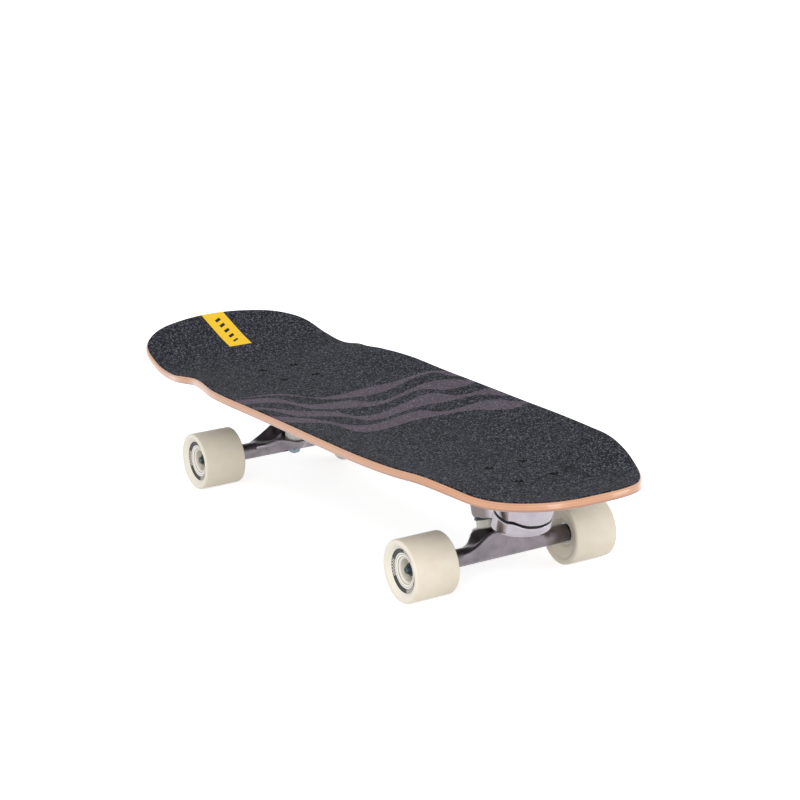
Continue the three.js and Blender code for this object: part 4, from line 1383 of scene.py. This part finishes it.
@dataclass
class Truck:
    """A truck's sizes and surfaces in its own frame: origin on the axle, X inwards."""

    wardrobe: Wardrobe
    prefix: str
    axle_x: float
    facing: float
    wheels: WheelSet = field(default_factory=WheelSet)
    wheel_radius: float = 33.0
    height: float = 65.3
    hanger_width: float = 159.0
    tube_radius: float = 9.5
    kingpin_inset: float = 23.0
    kingpin_rise: float = 11.2
    kingpin_lean: float = 15.0
    pivot_outset: float = 17.0
    pivot_rise: float = 33.0
    ring_top: float = 17.0
    ring_base: float = 12.0
    ring_above: float = 5.5
    ring_below: float = 7.0
    bushing_radius: float = 12.2
    top_bushing: float = 10.2
    low_bushing: float = 6.0
    kingpin_radius: float = 4.76
    boss_radius: float = 15.0
    boss_chamfer: float = 2.5
    pivot_radius: float = 6.0
    # How softly the webs run out of the tube, and the rounding of the kingpin's bowl
    web_blend: float = 0.25
    bowl_edge: float = 1.2
    # Distance from the middle, place inwards, rise and radius along the upright web and the skirt
    ridge: tuple[Quad, ...] = (
        (66.0, -4.0, 1.0, 2.5), (57.0, -5.5, 3.2, 2.5), (46.0, -7.5, 5.0, 2.5), (37.0, -8.2, 9.0, 2.5),
        (30.0, -7.8, 13.0, 2.5), (25.0, -7.6, 16.2, 2.5), (20.0, -8.2, 18.8, 2.5),
        (15.0, -9.2, 21.2, 2.5), (0.0, -9.6, 22.0, 2.5))
    flank: tuple[Quad, ...] = (
        (52.0, 2.5, 1.2, 4.0), (46.0, 4.5, 2.8, 4.0), (41.0, 6.2, 4.4, 4.0), (35.0, 9.7, 5.0, 4.0),
        (27.0, 16.2, 8.3, 4.0), (20.5, 21.2, 11.3, 4.0), (0.0, 21.2, 11.3, 4.0))

    def __post_init__(self) -> None:
        """Works out the axes and the places along them."""
        lean = math.radians(self.kingpin_lean)
        self.kingpin_axis = np.array([math.sin(lean), 0, math.cos(lean)])
        self.ring_centre = np.array([self.kingpin_inset, 0, self.kingpin_rise])
        self.pivot = np.array([-self.pivot_outset, 0, self.pivot_rise])
        self.top_seat = self.ring_above - 1.0
        self.low_seat = self.top_seat - 5.5
        self.top_base = self.top_seat + GAP
        self.washer_base = self.top_base + self.top_bushing + GAP
        self.boss_seat = self.washer_base + 2.0 + GAP
        self.low_top = self.low_seat - GAP
        self.low_washer_top = self.low_top - self.low_bushing - GAP
        self.nut_top = self.low_washer_top - 1.6 - GAP
        middle = self.on_kingpin((self.top_seat + self.low_seat) / 2)
        self.steer_axis = (self.pivot - middle) / np.linalg.norm(self.pivot - middle)
        self.cup_radius = self.pivot_radius + GAP + 2.6
        self.cup_end = self.pivot_radius + GAP + 1.5
        turn = np.diag([self.facing, self.facing, 1.0])
        self.turn, self.origin = turn, np.array([self.axle_x, 0, self.wheel_radius])

    def on_kingpin(self, distance: float) -> Array:
        """A point on the kingpin's axis, from the middle of the hanger's ring upwards."""
        return self.ring_centre + self.kingpin_axis * distance

    def on_steer(self, distance: float) -> Array:
        """A point on the steering axis, from the middle of the pivot's ball upwards."""
        return self.pivot + self.steer_axis * distance

    def onto_kingpin(self, skin: Skin) -> Skin:
        """A skin about Z laid along the kingpin from the middle of the ring."""
        return along(skin, self.ring_centre, self.kingpin_axis)

    def onto_steer(self, skin: Skin) -> Skin:
        """A skin about Z laid along the steering axis from the pivot's ball."""
        return along(skin, self.pivot, self.steer_axis)

    def placed(self, skin: Skin) -> Skin:
        """A skin of the truck's frame at its place in the board."""
        return skin.moved(self.turn, self.origin)

    def stand(self, node: str, made: Object) -> None:
        """Moves a finished mesh from the truck's frame to its place and lets it stand for a node.

        Args:
            node: the node.
            made: the mesh's object.
        """
        matrix = Matrix(self.turn.tolist()).to_4x4()
        matrix.translation = Vector(self.origin * MILLIMETRE)
        made.data.transform(matrix)
        self.wardrobe.stand_in(node, made)

    def web(self, stations: tuple[Quad, ...]) -> Skin:
        """The hanger's tube with one web, as a loft from end to end.

        At each station the section is the tight skin round the tube and the web's own circle: the
        point for an angle lies on the circle that reaches further along that angle. The stations'
        values are eased between by a cubic without overshoot.

        Args:
            stations: distance from the middle, place inwards, rise and radius of the web's circle.

        Returns:
            The skin, with flat ends.
        """
        table = np.array(stations)[::-1]
        reach = np.concatenate([np.linspace(0, 60, 73), np.linspace(60.5, self.hanger_width / 2, 24)])
        inward, rise, radius = (eased(reach, table[:, 0], table[:, k]) for k in (1, 2, 3))
        angle = angles(96)
        way = np.stack([np.cos(angle), np.sin(angle)], axis=-1)
        middle = np.stack([inward, rise], axis=-1)[:, None, :]
        on_web = (middle * way).sum(-1) + radius[:, None]
        share = 1 / (1 + np.exp(np.clip((self.tube_radius - on_web) / self.web_blend, -60, 60)))[..., None]
        flat = (1 - share) * way * self.tube_radius + share * (middle + way * radius[:, None, None])
        half = np.stack([flat[..., 0], reach[:, None] + 0 * flat[..., 0], flat[..., 1]], axis=-1)
        end = half[-1:] * [0, 1, 0]
        return grid_skin(np.concatenate([-end, half[:0:-1] * [1, -1, 1], half, end]))

    def hanger(self) -> Object:
        """The hanger: tube, upright web, skirt, kingpin bowl and pivot nose, cast as one.

        Returns:
            The finished object in the truck's frame.
        """
        half, inward, rise, radius = self.flank[-2]
        edge, axis = self.bowl_edge, self.kingpin_axis
        foot = []
        for y in (-half, half):
            foot.append(circle(np.array([0, y, 0.0]), self.tube_radius - edge, Y_AXIS))
            foot.append(circle(np.array([inward, y, rise]), radius - edge, Y_AXIS))
        bowl = rounded_hull([circle(self.on_kingpin(self.ring_above - edge), self.ring_top - edge, axis),
                             circle(self.on_kingpin(edge - self.ring_below), self.ring_base - edge, axis),
                             *foot], edge)
        nose = self.onto_steer(spun([
            (0, -25, 0), (7, -25, 0), (7, -9, 3), (self.pivot_radius - 0.2, 0, 3.5),
            (3.2, self.pivot_radius - 0.8, 2.5), (0, self.pivot_radius, 0)], 48, steps=8))
        pocket = self.onto_kingpin(lathe(np.array([
            (0, -19.0), (14.0, -19.0), (10.3, self.low_washer_top), (10.3, self.low_seat),
            (7.0, self.low_seat), (7.0, self.top_seat), (self.bushing_radius + GAP, self.top_seat),
            (self.bushing_radius + GAP, self.ring_above + 3), (0, self.ring_above + 3)]), 72))
        webs = [self.web(self.ridge), self.web(self.flank)]
        return casting(f"{self.prefix}_cast_hanger", [*webs, bowl, nose],
                       voxel_mm=0.8, rounds=9, cuts=[pocket])

    def turned_parts(self) -> dict[str, Skin]:
        """The kingpin, its nut, washers and bushings, the pivot cup and the axle.

        Returns:
            Skins in the truck's frame by node ending.
        """
        pin, hole, r = self.kingpin_radius, self.kingpin_radius + GAP, self.bushing_radius
        end, head = self.nut_top - 8.1, self.boss_seat + 13
        base, top = self.top_base, self.top_base + self.top_bushing
        low, low_top = self.low_top - self.low_bushing, self.low_top
        cupped, washer, nut_top = self.washer_base, self.low_washer_top, self.nut_top
        parts = {
            "kingpin": spun([
                (0, end, 0), (pin - 0.9, end, 0.2), (pin, end + 0.9, 0.2), (pin, head, 0.2), (8, head, 0.4),
                (8, head + 6, 0.8), (0, head + 6, 0)], 40),
            "top_bushing": spun([
                (hole, base, 0), (r, base, 1.1), (r - 0.25, (base + top) / 2, 2), (r, top, 1.1),
                (hole, top, 0)], 64, closed=True),
            "low_bushing": spun([
                (hole, low, 0), (7.6, low, 0.8), (8.6, low_top, 1.0), (hole, low_top, 0)], 56, closed=True),
            "top_washer": spun([
                (hole, cupped, 0), (r + GAP, cupped, 0.3), (r + GAP, cupped - 1.4, 0.15),
                (13.7, cupped - 1.4, 0.4), (12.6, cupped + 2, 0.6), (hole, cupped + 2, 0.2)],
                64, closed=True),
            "low_washer": spun([
                (hole, washer - 1.6, 0.1), (7.6, washer - 1.6, 0.4), (7.6, washer, 0.4), (hole, washer, 0.1)],
                56, closed=True),
            "pivot_cup": spun([
                (0, self.cup_end, 0), (self.cup_radius, self.cup_end, 1), (self.cup_radius, -2, 0.5),
                (self.pivot_radius + 0.7, -2, 0.2), (self.pivot_radius + GAP, 0, 2.5),
                (3.5, self.pivot_radius - 0.4, 2), (0, self.pivot_radius + GAP, 0)], 48),
            "kingpin_nut": hex_nut(14.2, pin + 0.1, nut_top - 5.6, nut_top),
            "kingpin_collar": spun([
                (pin + 0.1, nut_top - 6.5, 0.2), (6.3, nut_top - 6.5, 0.5), (6.6, nut_top - 5.5, 0),
                (pin + 0.1, nut_top - 5.5, 0)], 40, closed=True),
        }
        laid = {ending: self.onto_steer(skin) if ending == "pivot_cup" else self.onto_kingpin(skin)
                for ending, skin in parts.items()}
        return {**laid, "axle": along(self.axle(), np.zeros(3), Y_AXIS)}

    def axle(self) -> Skin:
        """The axle: a bar whose last stretch has thread ridges of 1.25 mm pitch.

        Returns:
            The skin about Z.
        """
        end, start, pitch, radius, depth = 115.3, 102.0, 1.25, 4.0, 0.16
        height = np.arange(start, end - 0.6, pitch / 4)
        ridge = 3.82 + depth * np.cos((height - start) / pitch * 2 * np.pi)
        thread = np.stack([ridge, height], axis=-1)
        half = np.concatenate([[(radius, 0.0), (radius, start - 0.4)], thread, [(3.4, end), (0.0, end)]])
        return lathe(np.concatenate([half[::-1] * [1, -1], half[1:]]), 40)

    def build(self) -> None:
        """Makes the truck's shared pieces and its wheels."""
        self.stand(f"{self.prefix}_hanger", self.hanger())
        parts = self.turned_parts()
        collar = parts.pop("kingpin_collar")
        for ending, skin in parts.items():
            skins = [skin, collar] if ending == "kingpin_nut" else [skin]
            # The axle and the washers take the darker zinc copy: painted shade for where they sit
            wear_and_shade = ending in ("axle", "top_washer", "low_washer")
            self.wardrobe.fit(f"{self.prefix}_{ending}", f"{self.prefix}_fine_{ending}",
                              [self.placed(s) for s in skins], "shaded_zinc_steel" if wear_and_shade else "")
        wheel = self.wheels.pieces()
        for side, way in (("left", Y_AXIS), ("right", -Y_AXIS)):
            for ending, (skins, finish) in wheel.items():
                self.wardrobe.fit(
                    f"{self.prefix}_{side}_{ending}", f"{self.prefix}_{side}_fine_{ending}",
                    [along(skin, self.origin, way) for skin in skins], finish)


@dataclass
class TailTruck(Truck):
    """The plain truck at the tail, with its baseplate and riser pad."""

    prefix: str = "tail"
    axle_x: float = -228.5
    facing: float = 1.0
    axle_outset: float = 16.1
    plate_length: float = 79.9
    plate_width: float = 56.3
    plate_thick: float = 7.0
    plate_corner: float = 9.0
    core_edge: float = 2.0
    core_half: float = 13.0
    core_bottom: float = 32.5
    riser_height: float = 16.0

    def baseplate(self) -> Object:
        """The baseplate: a plate, a core, the kingpin's boss and the pivot cup's boss, cast as one.

        Returns:
            The finished object in the truck's frame.
        """
        under, middle = self.height - self.plate_thick, self.height - self.plate_thick / 2
        plate = slab(self.plate_length, self.plate_width, self.plate_corner, under, self.height, 1.2)
        core_end = self.on_kingpin(self.boss_seat)[0]
        edge, half = self.core_edge, self.core_half
        xs, ys = (-self.pivot_outset + edge, core_end - edge), (edge - half, half - edge)
        zs = (self.core_bottom + edge, middle)
        core = rounded_hull([np.array([(x, y, z) for x in xs for y in ys for z in zs])], edge)
        seat_foot = np.array([self.on_kingpin(self.boss_seat + 13)[0], 0, middle])
        boss = rounded_hull([
            circle(self.on_kingpin(self.boss_seat - 2), self.boss_radius - 3.5, self.kingpin_axis),
            circle(self.on_kingpin(self.boss_seat + self.boss_chamfer), self.boss_radius - 1,
                   self.kingpin_axis),
            circle(seat_foot, self.boss_radius - 1, Z_AXIS)], 1.0)
        cup_foot = np.array([self.axle_outset - self.plate_length / 2 + 14, 0, middle])
        cup = rounded_hull([*self.cup_circles(1.2), circle(cup_foot, 12.8, Z_AXIS)], 1.2)
        return casting("tail_cast_baseplate", [plate.at(self.axle_outset, 0, 0), core, boss, cup],
                       voxel_mm=0.8, rounds=7, cuts=[self.cup_cut(), self.seat_cut()])

    def cup_circles(self, edge: float) -> list[Array]:
        """The two rims of the boss round the pivot cup, drawn in by the edge radius."""
        outer = self.cup_radius + GAP
        return [circle(self.on_steer(edge - 2), outer + 4 - edge, self.steer_axis),
                circle(self.on_steer(self.cup_end + GAP + 2.5 - edge), outer + 1.5 - edge, self.steer_axis)]

    def cup_cut(self) -> Skin:
        """The pocket for the pivot cup, open towards the hanger."""
        return self.onto_steer(rod(self.cup_radius + GAP, -25, self.cup_end + GAP))

    def seat_cut(self) -> Skin:
        """All that lies below the face that the cupped washer presses on."""
        return self.onto_kingpin(rod(self.boss_radius + 3, -4, self.boss_seat))

    def riser(self) -> Skin:
        """The riser pad above the baseplate."""
        base = self.height + GAP
        return slab(self.plate_length + 3, self.plate_width + 3, 10.5, base, base + self.riser_height,
                    0.9).at(self.axle_outset, 0, 0)

    def build(self) -> None:
        """Makes the whole tail truck."""
        super().build()
        self.stand("tail_baseplate", self.baseplate())
        self.wardrobe.fit("riser_pad", "riser_block", [self.placed(self.riser())])


@dataclass
class SwivelTruck(TailTruck):
    """The truck at the nose: a leaning swivel drum, split by a wavy seam, and the arm below it."""

    prefix: str = "nose"
    axle_x: float = 238.3
    facing: float = -1.0
    swivel_lean: float = 16.0
    axle_trail: float = 41.7
    seam_rise: float = 50.3
    seam_gap: float = 2.4
    bump: float = 2.0
    bump_angle: float = 55.0
    bump_near: float = 19.0
    bump_far: float = 8.5
    drum: float = 30.5
    drum_top: float = 33.5
    drum_level: float = 66.9
    shoulder: float = 2.5
    neck: float = 19.5
    arm_bottom: float = 31.0
    beam_bottom: float = 40.0
    arm_top: float = 49.0
    arm_edge: float = 4.5
    beam_edge: float = 2.2
    # Where the beam starts, from the swivel's axis, and its half width there
    beam_start: float = 16.0
    beam_half: float = 18.0
    flange_top: float = 81.6
    flange_thick: float = 8.0
    flange_x: float = -37.7
    bolt_hole: float = 8.3
    bolt_top: float = 17.2
    arm_hole: float = 8.2
    head_hole: float = 12.3
    kingpin_head_hole: float = 8.3

    def __post_init__(self) -> None:
        """Adds the swivel's axis to the truck's axes."""
        super().__post_init__()
        lean = math.radians(self.swivel_lean)
        self.swivel_axis = np.array([-math.sin(lean), 0, math.cos(lean)])
        self.across = np.array([math.cos(lean), 0, math.sin(lean)])
        self.seam = np.array([-self.axle_trail, 0, self.seam_rise])

    def ring(self, radius: float, height: float, bump: float = 0.0) -> Array:
        """A ring about the swivel axis that rises in a bell curve on either side of its outer end.

        The rise is bump times e to minus the square of the angle beyond the bump's middle over its
        width; the width is larger towards the outer end.

        Args:
            radius: the ring's radius.
            height: its place along the axis.
            bump: how high the bell curves are.

        Returns:
            The points.
        """
        angle = angles(192)
        beyond = np.degrees(np.abs(np.pi - angle)) - self.bump_angle
        bell = np.exp(-(beyond / np.where(beyond > 0, self.bump_far, self.bump_near)) ** 2)
        rise = height + bump * bell
        return (self.seam + np.outer(rise, self.swivel_axis) + np.outer(radius * np.cos(angle), self.across)
                + np.outer(radius * np.sin(angle), Y_AXIS))

    def level(self, radius: float, level: float) -> Array:
        """The same ring slid along the swivel axis onto a level plane."""
        ring = self.ring(radius, 0.0)
        return ring + np.outer((level - ring[:, 2]) / self.swivel_axis[2], self.swivel_axis)

    def rim(self, face: float, side: float) -> list[Array]:
        """Rings from the axis out to the rim and round its edge, which follows the bumps.

        Args:
            face: place of the flat face along the axis.
            side: 1 for the half above the seam, -1 for the half below it.

        Returns:
            The rings.
        """
        profile = filleted([(0, 0, 0), (self.drum, 0, 1.0), (self.drum, 6, 0)], steps=6)[:-1]
        share = np.clip((profile[:, 0] - self.drum + 6) / 4, 0, 1)
        return [self.ring(radius, face + side * depth, self.bump * s)
                for (radius, depth), s in zip(profile, share)]

    def base(self) -> Object:
        """The adapter's fixed half: drum, neck and bolted flange, cast as one.

        Returns:
            The finished object in the truck's frame.
        """
        shoulder = [self.level(self.drum_top - inset, self.drum_level - drop)
                    for inset, drop in quarter(self.shoulder, 6)]
        drum = grid_skin(np.stack([*self.rim(self.seam_gap / 2, 1), *shoulder,
                                   self.level(0, self.drum_level)]))
        middle = self.flange_top - self.flange_thick / 2
        neck = grid_skin(np.stack([self.ring(0, 6), self.ring(self.neck, 6),
                                   self.level(self.neck, middle), self.level(0, middle)]))
        flange = slab(self.plate_length, self.plate_width, self.plate_corner,
                      self.flange_top - self.flange_thick, self.flange_top, 1.4)
        bore = self.onto_swivel(rod(self.bolt_hole, -3, self.bolt_top + GAP))
        return casting("adapter_cast_base", [drum, neck, flange.at(self.flange_x, 0, 0)],
                       voxel_mm=0.7, rounds=5, cuts=[self.spring_cut(), bore])

    def onto_swivel(self, skin: Skin) -> Skin:
        """A skin about Z laid along the swivel axis from the seam."""
        return along(skin, self.seam, self.swivel_axis)

    def spring_cut(self) -> Skin:
        """The ring-shaped pocket that the return spring lies in."""
        return self.onto_swivel(lathe(np.array([
            (15.2, -7.2), (23.3, -7.2), (23.3, 8.2), (15.2, 8.2), (15.2, -7.2)]), 64))

    def head_seat(self) -> float:
        """Place of the swivel bolt's seat along the swivel axis."""
        return -(self.seam_rise - self.arm_bottom) / self.swivel_axis[2] + 10

    def arm(self) -> Object:
        """The swing arm: housing, beam, kingpin boss and pivot boss, cast as one.

        Returns:
            The finished object in the truck's frame.
        """
        low, axis = self.arm_bottom, self.kingpin_axis
        lower = [self.level(self.drum - inset, low + rise) for inset, rise in quarter(self.arm_edge, 8)]
        housing = grid_skin(np.stack([*self.rim(-self.seam_gap / 2, -1), *lower, self.level(0, low)]))
        edge = self.beam_edge
        rises = (self.beam_bottom + edge, self.arm_top - edge)
        corner = np.array([(self.beam_start - self.axle_trail, side * (self.beam_half - edge), rise)
                           for side in (-1, 1) for rise in rises])
        rims = ((1.2, 3.2), (3.4, edge), (17 - edge, edge))
        boss = [circle(self.on_kingpin(self.boss_seat + up), self.boss_radius - inset, axis)
                for up, inset in rims]
        beam = rounded_hull([corner, *boss], edge)
        cup = rounded_hull(self.cup_circles(1.2), 1.2)
        seat = self.head_seat()
        return casting("arm_casting", [housing, beam, cup], voxel_mm=0.7, rounds=5, cuts=[
            self.cup_cut(), self.seat_cut(), self.spring_cut(),
            self.onto_swivel(rod(self.arm_hole, seat - 2, 3)),
            self.onto_swivel(rod(self.head_hole, seat - 30, seat)),
            self.onto_kingpin(rod(self.kingpin_radius + GAP, 0, 40)),
            self.onto_kingpin(rod(self.kingpin_head_hole, self.boss_seat + 13 - GAP, 45))])

    def seam_shade_ring(self) -> Skin:
        """A near-black ring a little way in from the seam's rim: painted shade that darkens the seam."""
        return self.onto_swivel(spun([
            (25.2, -0.9, 0.2), (29.7, -0.9, 0.4), (29.7, 0.9, 0.4), (25.2, 0.9, 0.2)], 96, closed=True))

    def swivel_bolt(self) -> Skin:
        """The bolt that the arm turns on, with a hexagonal socket's round mouth in its head."""
        seat = self.head_seat() - GAP
        return self.onto_swivel(spun([
            (0, seat - 2, 0), (4.6, seat - 2, 0.2), (4.9, seat - 5, 0.4), (12, seat - 5, 1.0),
            (12, seat, 0.4), (8, seat, 0.3), (8, self.bolt_top, 0.6), (0, self.bolt_top, 0)], 64))

    def build(self) -> None:
        """Makes the whole nose truck."""
        # Not the tail's build: the adapter takes the place of its baseplate and riser
        Truck.build(self)
        self.stand("adapter_base", self.base())
        self.stand("swing_arm", self.arm())
        wardrobe = self.wardrobe
        wardrobe.fit("swivel_bolt", "swivel_turned_bolt", [self.placed(self.swivel_bolt())])
        # Painted shade: a near-black ring laid inside the seam
        seam_shade_ring = put_mesh("swivel_seam_shade_ring", [self.placed(self.seam_shade_ring())])
        smooth(seam_shade_ring)
        seam_shade_ring.data.materials.append(wardrobe.made["seam_shade_ring"])
        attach(seam_shade_ring, wardrobe.bodies["adapter_base"])
        for node in ("thrust_washer", "return_spring"):
            wardrobe.dress(node)


# Studio

@dataclass
class Studio:
    """The floor, the white surroundings, the soft lamps and the camera of the photograph."""

    eye_mm: Triple = (2024.3, -1172.0, 786.2)
    right: Triple = (0.5168, 0.8555, -0.0329)
    down: Triple = (0.2127, -0.1655, -0.963)
    focal_px: float = 2200.0
    frame_px: float = 800.0
    surround: float = 0.8
    paper: str = "#ececec"
    glow: float = 0.66
    lamps: tuple[tuple[Triple, float, float], ...] = (
        ((1.3, -0.8, 1.2), 1.8, 7.2),
        ((7.6, -4.9, 3.0), 5.5, 188.0),
        ((-1.6, 1.4, 2.4), 1.6, 6.0),
        ((2.2, 2.6, 1.0), 1.3, 12.0),
    )

    def camera(self) -> None:
        """Sets the camera where the photograph was taken, from its place and its image axes."""
        right, down = np.array(self.right), np.array(self.down)
        right /= np.linalg.norm(right)
        back = np.cross(right, -down)
        back /= np.linalg.norm(back)
        up = np.cross(back, right)
        data = bpy.data.cameras.new("photo_camera")
        data.sensor_width = 36.0
        data.lens = self.focal_px / self.frame_px * data.sensor_width
        data.clip_end = 60
        made = put("photo_camera", data)
        matrix = Matrix(np.stack([right, up, back], axis=1).tolist()).to_4x4()
        matrix.translation = Vector(np.array(self.eye_mm) * MILLIMETRE)
        made.matrix_world = matrix
        bpy.context.scene.camera = made

    def floor(self) -> None:
        """A pale paper floor that shows as white and keeps the shadow."""
        mesh = bpy.data.meshes.new("floor")
        span = 25.0
        mesh.from_pydata([(-span, -span, 0), (span, -span, 0), (span, span, 0), (-span, span, 0)], [],
                         [(0, 1, 2, 3)])
        made = put("floor", mesh)
        material = bpy.data.materials.new("white_paper")
        tree = emptied(material)
        paper = add(tree, "ShaderNodeBsdfDiffuse", {}, {"Color": linear(self.paper)}).outputs[0]
        glow = add(tree, "ShaderNodeEmission", {}, {"Color": (1, 1, 1, 1), "Strength": self.glow}).outputs[0]
        both = add(tree, "ShaderNodeAddShader", {}, {0: Signal(tree, paper), 1: Signal(tree, glow)})
        self.shown(tree, "ShaderNodeOutputMaterial", paper, both.outputs[0])
        made.data.materials.append(material)

    def world(self) -> None:
        """White surroundings for the camera and for reflections, and a plain level for the rest."""
        world = bpy.data.worlds.new("white_surround")
        bpy.context.scene.world = world
        tree = emptied(world)
        plain, white = (add(tree, "ShaderNodeBackground", {}, {"Color": (1, 1, 1, 1), "Strength": level})
                        for level in (self.surround, 1.0))
        self.shown(tree, "ShaderNodeOutputWorld", plain.outputs[0], white.outputs[0])

    def shown(self, tree: bpy.types.NodeTree, end: str, plain: bpy.types.NodeSocket,
              white: bpy.types.NodeSocket) -> None:
        """Ends a tree with one shader for the eye and reflections, and another for all other light.

        Args:
            tree: the node tree.
            end: the type name of its output node.
            plain: the shader for all other light.
            white: the shader for what the camera, gloss and clear pieces see.
        """
        path = add(tree, "ShaderNodeLightPath", {}, {})
        camera, glossy, clear = (Signal(tree, path.outputs[f"Is {way} Ray"])
                                 for way in ("Camera", "Glossy", "Transmission"))
        mix = add(tree, "ShaderNodeMixShader", {}, {
            0: camera.most(glossy).most(clear), 1: Signal(tree, plain), 2: Signal(tree, white)})
        add(tree, end, {}, {"Surface": Signal(tree, mix.outputs[0])})

    def lights(self) -> None:
        """Large soft lamps above, each aimed at the board."""
        for i, (place, size, power) in enumerate(self.lamps, start=1):
            data = bpy.data.lights.new(f"soft_lamp_{i}", "AREA")
            data.size, data.energy = size, power
            made = put(f"soft_lamp_{i}", data)
            made.location = place
            made.rotation_mode = "QUATERNION"
            made.rotation_quaternion = (-Vector(place)).to_track_quat("-Z", "Y")

    def build(self) -> None:
        """Sets up the whole studio."""
        self.camera()
        self.floor()
        self.world()
        self.lights()
        bpy.context.scene.view_settings.view_transform = "Standard"


def main() -> None:
    """Builds the studio, the board and both trucks."""
    logging.basicConfig(level=logging.INFO, format="%(name)s: %(message)s")
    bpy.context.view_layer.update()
    Studio().build()
    wardrobe = Wardrobe()
    Board(wardrobe).build()
    TailTruck(wardrobe).build()
    SwivelTruck(wardrobe).build()


if __name__ == "__main__":
    main()
